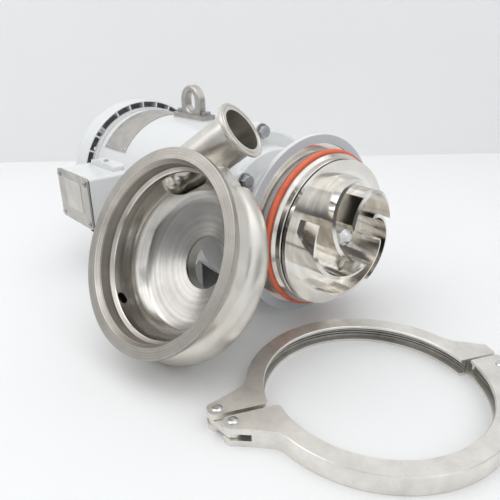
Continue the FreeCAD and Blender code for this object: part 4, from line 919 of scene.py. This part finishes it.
@dataclass
class LooseCasing(Assembly):
    """Volute casing that leans beside the pump: turned rim and blended, pressed chamber."""

    rim_radius: float = 108.0
    rim_edge: float = 0.6
    rim_land: float = 5.5
    rim_flank: tuple = (7.5, 99.0)
    rim_depth: float = 21.0
    rim_rounding: float = 0.25
    neck_radius: float = 96.5
    neck_start: float = 9.0
    neck_relief: tuple = ((13.4, 0.0), (13.7, -0.4), (14.2, -0.4), (14.5, 0.0))
    land_radius: float = 95.9
    bore_radius: float = 93.0
    bore_taper: float = 1.0
    bore_end: float = 18.1
    bore_relief: tuple = ((6.4, -0.1), (6.2, 0.3), (5.6, 0.3), (5.2, 0.0))
    seat_share: float = 0.24
    ledge_radius: float = 88.5
    ledge_depth: float = 21.9
    wall: float = 2.8
    wall_steps: int = 16
    wall_swell: float = 6.0
    sweep: float = 14.0
    sweep_start: float = 0.45
    chamber_top: float = 12.0
    chamber_depth: float = 51.5
    chamber_radius: float = 18.0
    volute_radius: float = 110.4
    volute_offset: float = 8.9
    cone_radius: float = 77.4
    cone_depth: float = 62.65
    cone_slope: float = 0.309
    front_radius: float = 66.0
    eye_radius: float = 40.0
    eye_drop: float = 8.0
    outlet_start: float = 21.5
    outlet_tube: float = 25.4
    outlet_bore: float = 23.75
    outlet_taper: float = 42.0
    outlet_weld: float = 80.0
    outlet_mouth: float = 14.0
    outlet_spare: tuple = (12.0, 20.0)
    drain_radius: float = 6.6
    drain_throat: float = 4.0
    drain_step: tuple = (1.0, 3.0)
    drain_boss_radius: float = 9.0
    drain_boss_reach: float = 107.0
    drain_root: float = 6.0
    cutter_room: tuple = (5.0, 160.0, 110.0)
    end_cutter: float = 60.0
    voxel: float = 2.0
    melting: int = 7

    def build(self) -> None:
        """Builds the rim and the chamber."""
        self.add_rim()
        self.add_chamber()

    def seat(self) -> tuple:
        """Height and radius at which the rim ends inside."""
        return -self.rim_depth, self.ledge_radius + (
            self.bore_radius - self.bore_taper - self.ledge_radius) * self.seat_share

    def add_rim(self) -> None:
        """Turns the clamp rim with its seat, its relief grooves and its broken edges."""
        flank_depth, flank_radius = self.rim_flank
        profile = [(0.0, self.land_radius), (0.0, self.rim_radius - self.rim_edge), (-self.rim_edge, self.rim_radius),
                   (-self.rim_land, self.rim_radius), (-flank_depth, flank_radius),
                   (-self.neck_start, self.neck_radius)]
        profile += [(-depth, self.neck_radius + out) for depth, out in self.neck_relief]
        profile += [(-self.rim_depth, self.neck_radius), self.seat(),
                    (-self.bore_end, self.bore_radius - self.bore_taper)]
        profile += [(-depth, self.bore_radius + out) for depth, out in self.bore_relief]
        rim = self.bench.turned("casing_clamp_rim", profile, FINE_SIDES)
        self.bench.softened(rim, self.rim_rounding, angle=20.0)
        self.bench.moved(rim, casing_place())
        self.bench.hand_over(rim, self.palette["turned_rim"], Body.CASING, "polished_steel", "casing_rim")

    def outlet_form(self, shrink: float, start: float, length: float) -> bpy.types.Object:
        """Round-ended flare and tube of the outlet, in the casing's own frame.

        Args:
            shrink: How much thinner it is than the outside of the tube.
            start: Where along the outlet its round end is centred.
            length: Where it ends.
        Returns:
            The form.
        """
        first, last = self.outlet_start - shrink, self.outlet_tube - shrink
        profile = [(start - first * math.cos(math.radians(turn)), first * math.sin(math.radians(turn)))
                   for turn in range(0, 90, 10)]
        profile += [(start, first), (self.outlet_taper, last), (length, last), (length, 0.0)]
        return self.bench.moved(self.bench.turned("outlet", profile, steps=72), outlet_place())

    def ring_form(self) -> bpy.types.Object:
        """Outside of the ring chamber.

        Returns:
            The form, in the casing's own frame.
        """
        middle = self.volute_radius - self.chamber_radius - self.wall
        ring = self.bench.turned("chamber", round_section(self.chamber_radius + self.wall, middle, step=6), SIDES)
        away = OUTLET_ANGLE + math.pi
        return self.bench.moved(ring, shift(self.volute_offset * math.cos(away), self.volute_offset * math.sin(away),
                                            -self.chamber_depth))

    def bowl_wall(self) -> list:
        """Hollow wall of the bowl, which swells behind the ledge and sweeps round into the front cone.

        Returns:
            (height, radius) pairs from the ledge to the cone's edge.
        """
        wall = []
        for step in range(self.wall_steps + 1):
            part = step / self.wall_steps
            swell = self.wall_swell * math.sin(math.pi * part)
            sweep = self.sweep * max(0.0, part - self.sweep_start) * (1.0 - part)
            straight = self.ledge_radius + (self.cone_radius - self.ledge_radius) * part
            wall.append((-self.ledge_depth - (self.cone_depth - self.ledge_depth) * part, straight + (swell + sweep)))
        return wall

    def drilled(self, shell: bpy.types.Object) -> None:
        """Adds the drain's boss and drills it with a wide mouth and a narrow throat.

        Args:
            shell: The chamber, in the casing's own frame.
        """
        boss = self.bench.disc(self.drain_boss_radius, self.ledge_radius + self.drain_root, self.drain_boss_reach,
                               steps=64)
        self.bench.combine(shell, self.bench.moved(boss, drain_place()), "UNION")
        start, end = self.ledge_radius - self.drain_root, self.drain_boss_reach + self.cutter_room[0]
        mouth_end, throat_start = (self.neck_radius + reach for reach in self.drain_step)
        drill = self.bench.turned("drill", [
            (start, 0.0), (start, self.drain_radius), (mouth_end, self.drain_radius),
            (throat_start, self.drain_throat), (end, self.drain_throat), (end, 0.0)], steps=64)
        self.bench.combine(shell, self.bench.moved(drill, drain_place()))

    def add_chamber(self) -> None:
        """Joins neck, ring and outlet, melts their welds together and hollows them out."""
        cone_wall = self.wall * math.sqrt(1 + self.cone_slope ** 2)
        front_depth = self.cone_depth + (self.cone_radius - self.front_radius) * self.cone_slope
        bottom = -front_depth - self.eye_drop - cone_wall
        shell = self.bench.turned("casing_chamber", [
            (-self.chamber_top, 0.0), (-self.chamber_top, self.neck_radius), (-self.chamber_depth, self.neck_radius),
            (-self.cone_depth - cone_wall, self.cone_radius), (bottom, self.eye_radius), (bottom, 0.0)], SIDES)
        self.bench.combine(shell, self.ring_form(), "UNION")
        outside, inside = (self.outlet_weld + spare for spare in self.outlet_spare)
        self.bench.combine(shell, self.outlet_form(0.0, 0.0, outside), "UNION")
        self.bench.melted(shell, self.voxel, self.melting)
        above, beside, below = self.cutter_room
        bowl = [(above, 0.0), (above, beside), (-self.rim_depth, beside), self.seat()] + self.bowl_wall()
        bowl += [(-front_depth, self.front_radius), (-below, self.front_radius), (-below, 0.0)]
        self.bench.combine(shell, self.bench.turned("bowl", bowl, FINE_SIDES))
        self.bench.combine(shell, self.outlet_form(self.outlet_tube - self.outlet_bore, self.outlet_mouth, inside))
        end = self.bench.disc(self.end_cutter, self.outlet_weld, self.outlet_weld + self.end_cutter)
        self.bench.combine(shell, self.bench.moved(end, outlet_place()))
        self.drilled(shell)
        self.bench.softened(shell)
        self.bench.moved(shell, casing_place())
        self.bench.hand_over(shell, self.palette["polished_bowl"], Body.CASING, "polished_steel", "volute_casing",
                             "drain_boss")


@dataclass
class RingClamp(Assembly):
    """Hinged ring clamp on the floor: two channel halves, the hinge pins and the swing bolt's pin."""

    thickness: float = 19.2
    outer_radius: float = 121.5
    lip_radius: float = 103.5
    root_radius: float = 109.5
    root_width: float = 11.6
    lip_width: float = 13.6
    edge: float = 0.6
    groove_places: tuple = (0.75, 0.5, 0.25)
    groove_depth: float = 0.6
    groove_mouth: float = 0.9
    groove_floor: float = 0.4
    face_gap: float = 3.5
    lug_root: tuple = (119.0, 36.0)
    lug_shoulder: tuple = ((-5.0, 6.0), (-10.0, 14.0), (-24.0, 14.0))
    lug_overlap: float = 20.0
    lug_bite: float = 1.0
    lug_neck: float = 12.0
    lug_taper: float = 0.34
    far_lug: tuple = (146.0, 18.0)
    near_lug: tuple = (137.0, 26.0)
    hinge_width: float = 17.0
    pin_reach: float = CLAMP_PIN[0]
    pin_offset: float = CLAMP_PIN[1]
    pin_radius: float = 3.5
    pin_play: float = 0.05
    pin_foot: float = 0.5
    pin_chamfer: float = 0.4
    pin_head: tuple = ((0.05, 5.0), (0.5, 5.2), (1.1, 4.7), (1.6, 3.7), (1.9, 2.5), (2.03, 1.2), (2.05, 0.0))
    lug_end_radius: float = 9.0
    bolt_corner: float = 0.4
    hinge_corner: float = 0.8
    bolt_reach: float = 127.0
    bolt_eye: float = 8.5
    bolt_offset: float = 19.0
    far_slot: tuple = (0.0, 10.8)
    near_slot: tuple = (1.5, 9.8)
    link_slot: float = 6.8
    slot_depth: float = 12.0
    tip_radius: float = 5.0
    tip_clear: tuple = (4.0, 2.0)
    slot_front: float = -2.0
    half_cutter: tuple = (60.0, -9.0, 40.0)
    bar_cutter: tuple = (-20.0, 60.0)

    def build(self) -> None:
        """Builds both halves and the domed pins."""
        far, link, near = clamp_places()
        far_body = self.half("far_clamp_half", self.far_lug, self.far_slot)
        self.finish_half(far_body, far, Body.FAR_HALF, "satin_far_clamp", "clamp_far_half")
        near_body = self.half("near_clamp_half", self.near_lug, self.near_slot)
        self.bench.mirrored(near_body, Way.Y)
        self.finish_half(near_body, near, Body.NEAR_HALF, "satin_near_clamp", "clamp_near_half")
        hinge = self.pin("hinge_pins")
        second = self.bench.moved(self.pin("hinge_pin_end"), shift(2 * self.pin_offset, 0.0))
        self.bench.hold(hinge)
        second.select_set(True)
        bpy.ops.object.join()
        pivot = self.pin("swing_bolt_pivot")
        for pin, place, body, node in ((hinge, link, Body.LINK, "link_pins"),
                                       (pivot, near @ shift(self.bolt_reach, -self.bolt_offset), Body.NEAR_HALF,
                                        "swing_bolt_pin")):
            self.bench.moved(pin, place)
            self.bench.hand_over(pin, self.palette["bright_steel"], body, "bolt_steel", node)

    def ring(self, name: str) -> bpy.types.Object:
        """Turned channel ring with fine grooves in its root.

        Args:
            name: The piece's name.
        Returns:
            The ring, round the Z axis and on the floor.
        """
        top, edge = self.thickness, self.edge
        low_root, high_root = (top - self.root_width) / 2, (top + self.root_width) / 2
        low_lip, high_lip = (top - self.lip_width) / 2, (top + self.lip_width) / 2
        profile = [(0.0, self.lip_radius + edge), (0.0, self.outer_radius - edge), (edge, self.outer_radius),
                   (top - edge, self.outer_radius), (top, self.outer_radius - edge), (top, self.lip_radius + edge),
                   (top - edge, self.lip_radius), (high_lip, self.lip_radius), (high_root, self.root_radius)]
        for part in self.groove_places:
            middle = low_root + self.root_width * part
            for reach, depth in ((self.groove_mouth, 0.0), (self.groove_floor, self.groove_depth),
                                 (-self.groove_floor, self.groove_depth), (-self.groove_mouth, 0.0)):
                profile.append((middle + reach, self.root_radius + depth))
        profile += [(low_root, self.root_radius), (low_lip, self.lip_radius), (edge, self.lip_radius)]
        return self.bench.turned(name, profile, FINE_SIDES)

    def lug(self, end: float, width: float, corner: float) -> bpy.types.Object:
        """Tapered lug outside the ring on its +X side, with rounded end corners.

        Args:
            end: Reach of the lug from the ring's centre.
            width: Width at its end.
            corner: Radius of its end corners.
        Returns:
            The lug.
        """
        face, back = self.face_gap, self.face_gap + width
        root_x, root_y = self.lug_root
        outline = [(root_x - self.lug_overlap, face, 0.0)] + arc((end - corner, face + corner), corner, -90, 0)
        outline += arc((end - corner, back - corner), corner, 0, 90)
        outline += [(root_x + self.lug_neck, max(root_y, back) - (root_y - width) * self.lug_taper, 0.0),
                    (root_x, max(root_y, back), 0.0)]
        outline += [(root_x + x, root_y + y, 0.0) for x, y in self.lug_shoulder]
        lug = self.bench.raised("lug", outline, self.thickness)
        self.bench.combine(lug, self.bench.disc(self.root_radius + self.lug_bite, *self.bar_cutter, FINE_SIDES))
        return lug

    def half(self, name: str, bolt_lug: tuple, bolt_slot: tuple) -> bpy.types.Object:
        """Half of the clamp on its +Y side, with its lugs, slots and pin hole.

        Args:
            name: The piece's name.
            bolt_lug: Reach and width of the lug at the bolt.
            bolt_slot: How much sooner than the bolt's eye its slot begins, and the slot's height.
        Returns:
            The half, still at the ring's own place.
        """
        body = self.ring(name)
        room, below, above = self.half_cutter
        size = self.outer_radius + room
        self.bench.combine(body, self.bench.block((-size, self.face_gap, below), (size, size, above)), "INTERSECT")
        self.bench.combine(body, self.lug(*bolt_lug, self.lug_end_radius * self.bolt_corner), "UNION")
        hinge_lug = self.lug(self.pin_reach + self.lug_end_radius, self.hinge_width,
                             self.lug_end_radius * self.hinge_corner)
        self.bench.combine(body, self.bench.mirrored(hinge_lug, Way.X), "UNION")
        sooner, height = bolt_slot
        middle = self.thickness / 2
        for start, end, width in ((-size, -self.pin_reach + self.slot_depth, self.link_slot),
                                  (self.bolt_reach - self.bolt_eye - sooner, size, height)):
            self.bench.combine(body, self.bench.block((start, self.slot_front, middle - width / 2),
                                                      (end, self.root_radius, middle + width / 2)))
        self.bench.combine(body, self.tip_cutter())
        hole = self.bench.disc(self.pin_radius + self.pin_play, below, above)
        self.bench.combine(body, self.bench.moved(hole, shift(-self.pin_reach, self.pin_offset)))
        return body

    def tip_cutter(self) -> bpy.types.Object:
        """Cutter that rounds the inner corner of a hinge lug.

        Returns:
            The cutter, at the ring's own place.
        """
        inner, radius = self.lip_radius, self.tip_radius
        tip_x = -math.sqrt(inner ** 2 - self.face_gap ** 2)
        middle_y = self.face_gap + radius
        middle_x = -math.sqrt((inner + radius) ** 2 - middle_y ** 2)
        middle = Vector((middle_x, middle_y, 0.0))
        side = middle * (inner / middle.length)
        touch = -math.degrees(math.atan2(middle_y, -middle_x))
        front = self.face_gap + self.slot_front
        before, beside = self.tip_clear
        outline = [(middle_x, front, 0.0), (tip_x + before, front, 0.0), (side.x + beside, side.y, 0.0)]
        low, height = self.bar_cutter
        cutter = self.bench.raised("cutter", outline + arc(tuple(middle), radius, touch, -90.0), height)
        return self.bench.moved(cutter, shift(0.0, 0.0, low))

    def finish_half(self, piece: bpy.types.Object, place: Matrix, body: Body, finish: str, node: str) -> None:
        """Shades a half, places it and hands it over.

        Args:
            piece: The half.
            place: Its place on the floor.
            body: The body that it rides on.
            finish: Name of its finish.
            node: Name of the node that it replaces.
        """
        self.bench.softened(piece)
        self.bench.moved(piece, place)
        self.bench.hand_over(piece, self.palette[finish], body, "satin_steel", node)

    def pin(self, name: str) -> bpy.types.Object:
        """Pin with a domed, peened head.

        Args:
            name: The piece's name.
        Returns:
            The pin, upright at the origin.
        """
        foot, radius, top = self.pin_foot, self.pin_radius, self.thickness
        profile = [(foot, 0.0), (foot, radius - self.pin_chamfer), (foot + self.pin_chamfer, radius),
                   (top + self.pin_play, radius)] + [(top + height, reach) for height, reach in self.pin_head]
        pin = self.bench.turned(name, profile, steps=40)
        self.bench.softened(pin, angle=38.0)
        return pin


@dataclass
class WetEnd(Assembly):
    """Pieces of the pump end that the casing normally covers."""

    groove_floor: float = 86.8
    o_ring_section: float = 6.8

    def build(self) -> None:
        """Builds the O-ring."""
        radius = self.o_ring_section / 2
        ring = self.bench.turned("seated_o_ring", round_section(radius, self.groove_floor + radius, step=12), SIDES)
        self.bench.softened(ring, angle=60.0)
        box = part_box("casing_o_ring")
        self.bench.moved(ring, on_shaft((box[0][0] + box[1][0]) / 2 / MM))
        self.bench.hand_over(ring, self.palette["coral_rubber"], Body.PUMP, "orange_rubber", "casing_o_ring")


@dataclass
class MotorTrim(Assembly):
    """Small trim of the motor: blank plate on the conduit box's cover and screw on the frame's pad."""

    plate_corner: tuple = (-133.0, 95.0)
    plate_size: tuple = (52.0, 44.0)
    plate_reach: float = 0.5
    plate_root: float = 0.1
    plate_rounding: float = 0.2
    screw_place: tuple = (-112.3, -102.3, 156.0)
    screw_section: tuple = ((-1.0, 0.0), (-1.0, 3.6), (1.2, 3.6), (1.8, 3.1), (2.1, 2.2), (2.2, 0.0))
    screw_slot: tuple = ((-5.0, -0.5, 1.3), (5.0, 0.5, 4.0))

    def build(self) -> None:
        """Builds the plate and the screw."""
        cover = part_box("box_cover")[0][1] / MM
        x, z = self.plate_corner
        length, height = self.plate_size
        plate = self.bench.block((x, cover - self.plate_reach, z), (x + length, cover + self.plate_root, z + height))
        plate.name = "blank_box_plate"
        self.bench.softened(plate, self.plate_rounding)
        self.bench.hand_over(plate, self.palette["blank_plate"], Body.PUMP, "satin_steel")
        screw = self.bench.turned("frame_pad_screw", list(self.screw_section), steps=32)
        self.bench.combine(screw, self.bench.block(*self.screw_slot))
        self.bench.softened(screw, angle=38.0)
        self.bench.moved(screw, shift(*self.screw_place))
        self.bench.hand_over(screw, self.palette["bolt_steel"], Body.PUMP, "bolt_steel")


class Surroundings(Shader):
    """A dim room with a bright ceiling and tall windows, for metal to mirror."""

    windows: ClassVar[tuple] = ((-150.0, 0.05, 0.55), (-100.0, 0.12, 0.35), (-20.0, 0.1, 0.9), (80.0, 0.2, 0.8),
                                (175.0, 0.16, 0.7))
    window_rise: ClassVar[float] = 0.35
    window_edge: ClassVar[tuple] = (1.04, 0.4)
    glow: ClassVar[float] = 0.13
    ceiling: ClassVar[float] = 0.8
    ceiling_edge: ClassVar[tuple] = (0.45, 0.95)
    tint: ClassVar[tuple] = (0.95, 0.97, 1.0, 1.0)

    def __init__(self, world: bpy.types.World) -> None:
        """Keeps the world's node tree."""
        self.tree = world.node_tree
        self.surface = self.tree.nodes["Background"]

    def window(self, heading: float, width: float) -> Wire:
        """Soft upright band of light round a compass heading.

        Args:
            heading: Its middle, in degrees from +X.
            width: How far it reaches, as a part of one.
        Returns:
            The band, from 0 to 1.
        """
        angle = math.radians(heading)
        aim = (math.cos(angle), math.sin(angle), self.window_rise)
        towards = self.add("ShaderNodeVectorMath", {"operation": "DOT_PRODUCT"},
                           {0: self.add("ShaderNodeTexCoord", output="Generated"), 1: aim}, "Value")
        full, share = self.window_edge
        return self.ramp(towards, 1.0 - width, full - width * share)

    def build(self) -> None:
        """Links the light of the room to the world's background, which the camera itself sees evenly pale."""
        height = self.parts(self.add("ShaderNodeTexCoord", output="Generated"))[2]
        glow = self.glow + self.ramp(height, *self.ceiling_edge) * self.ceiling
        for heading, width, strength in self.windows:
            glow = glow + self.window(heading, width) * strength
        self.set("Color", self.tint)
        self.set("Strength", glow.maths("MAXIMUM", glow, self.add("ShaderNodeLightPath", output="Is Camera Ray")))


@dataclass
class Studio:
    """Pale floor and wall, soft lamps and the camera, in metres."""

    camera_place: tuple = (0.61202, -0.44261, 0.33246)
    heading: float = math.radians(139.532)
    tilt: float = math.radians(-22.769)
    roll: float = math.radians(1.066)
    lens: float = 37.843
    sensor: float = 36.0
    wall_distance: float = 1.46
    wall_drop: float = 0.02
    floor_size: float = 6.0
    floor_colour: tuple = (0.86, 0.86, 0.855)
    wall_colour: tuple = (0.84, 0.845, 0.845)
    paper_roughness: float = 0.55
    aim: tuple = (0.15, -0.1, 0.1)
    lamps: tuple = (("key", (-0.5, -1.3, 1.7), 1.8, 13.5), ("fill", (1.5, 0.5, 1.5), 1.7, 6.5),
                    ("top", (0.1, 0.1, 2.2), 2.0, 11.5))

    def build(self) -> None:
        """Makes the floor, the wall, the lamps, the world and the camera."""
        self.add_stage()
        for lamp in self.lamps:
            self.add_lamp(*lamp)
        world = bpy.data.worlds.new("surroundings")
        world.use_nodes = True
        Surroundings(world).build()
        bpy.context.scene.world = world
        self.add_camera()
        bpy.context.scene.view_settings.view_transform = "Standard"

    def add_stage(self) -> None:
        """Makes the floor and the wall behind it."""
        forward = Vector((math.cos(self.heading), math.sin(self.heading), 0.0))
        wall = Vector((*self.camera_place[:2], 0.0)) + forward * self.wall_distance
        half = self.floor_size / 2
        for name, place, lean, colour in (
                ("studio_floor", wall - forward * half, 0.0, self.floor_colour),
                ("studio_wall", wall + Vector((0.0, 0.0, half - self.wall_drop)), -math.pi / 2, self.wall_colour)):
            bpy.ops.mesh.primitive_plane_add(size=self.floor_size, location=place, rotation=(0.0, lean, self.heading))
            piece = bpy.context.object
            piece.name = name
            piece.data.materials.append(self.paper(name, colour))

    def paper(self, name: str, colour: tuple) -> bpy.types.Material:
        """Pale matte paper, seen from its front alone so that it hides nothing from behind.

        Args:
            name: The material's name.
            colour: Its linear colour.
        Returns:
            The material.
        """
        shader = Shader(name, colour, self.paper_roughness)
        shader.set("Alpha", 1.0 - shader.add("ShaderNodeNewGeometry", output="Backfacing"))
        return shader.material

    def add_lamp(self, name: str, place: tuple, size: float, power: float) -> None:
        """Adds one square soft lamp aimed at the pump.

        Args:
            name: The lamp's name.
            place: Where it hangs.
            size: Length of its sides.
            power: Watts.
        """
        lamp = bpy.data.lights.new(name, "AREA")
        lamp.size = size
        lamp.energy = power
        holder = bpy.data.objects.new(name, lamp)
        holder.location = place
        holder.rotation_euler = (Vector(self.aim) - Vector(place)).to_track_quat("-Z", "Y").to_euler()
        bpy.context.scene.collection.objects.link(holder)

    def add_camera(self) -> None:
        """Adds the camera at the photograph's viewing angle."""
        forward = Vector((math.cos(self.heading) * math.cos(self.tilt),
                          math.sin(self.heading) * math.cos(self.tilt), math.sin(self.tilt)))
        right = Vector((math.sin(self.heading), -math.cos(self.heading), 0.0))
        down = forward.cross(right)
        level_right = right * math.cos(self.roll) + down * math.sin(self.roll)
        level_down = down * math.cos(self.roll) - right * math.sin(self.roll)
        matrix = Matrix((level_right, -level_down, -forward)).transposed().to_4x4()
        matrix.translation = Vector(self.camera_place)
        data = bpy.data.cameras.new("camera")
        data.lens = self.lens
        data.sensor_width = self.sensor
        holder = bpy.data.objects.new("camera", data)
        holder.matrix_world = matrix
        bpy.context.scene.collection.objects.link(holder)
        bpy.context.scene.camera = holder


def main() -> None:
    """Dresses the frame, builds the pieces and sets up the studio."""
    logging.basicConfig(level=logging.INFO)
    palette = Palette()
    bench = Bench()
    for kind in (LooseCasing, RingClamp, WetEnd, MotorTrim):
        kind(bench, palette).build()
        LOG.info("%s is built", kind.__name__)
    Studio().build()


if __name__ == "__main__":
    main()
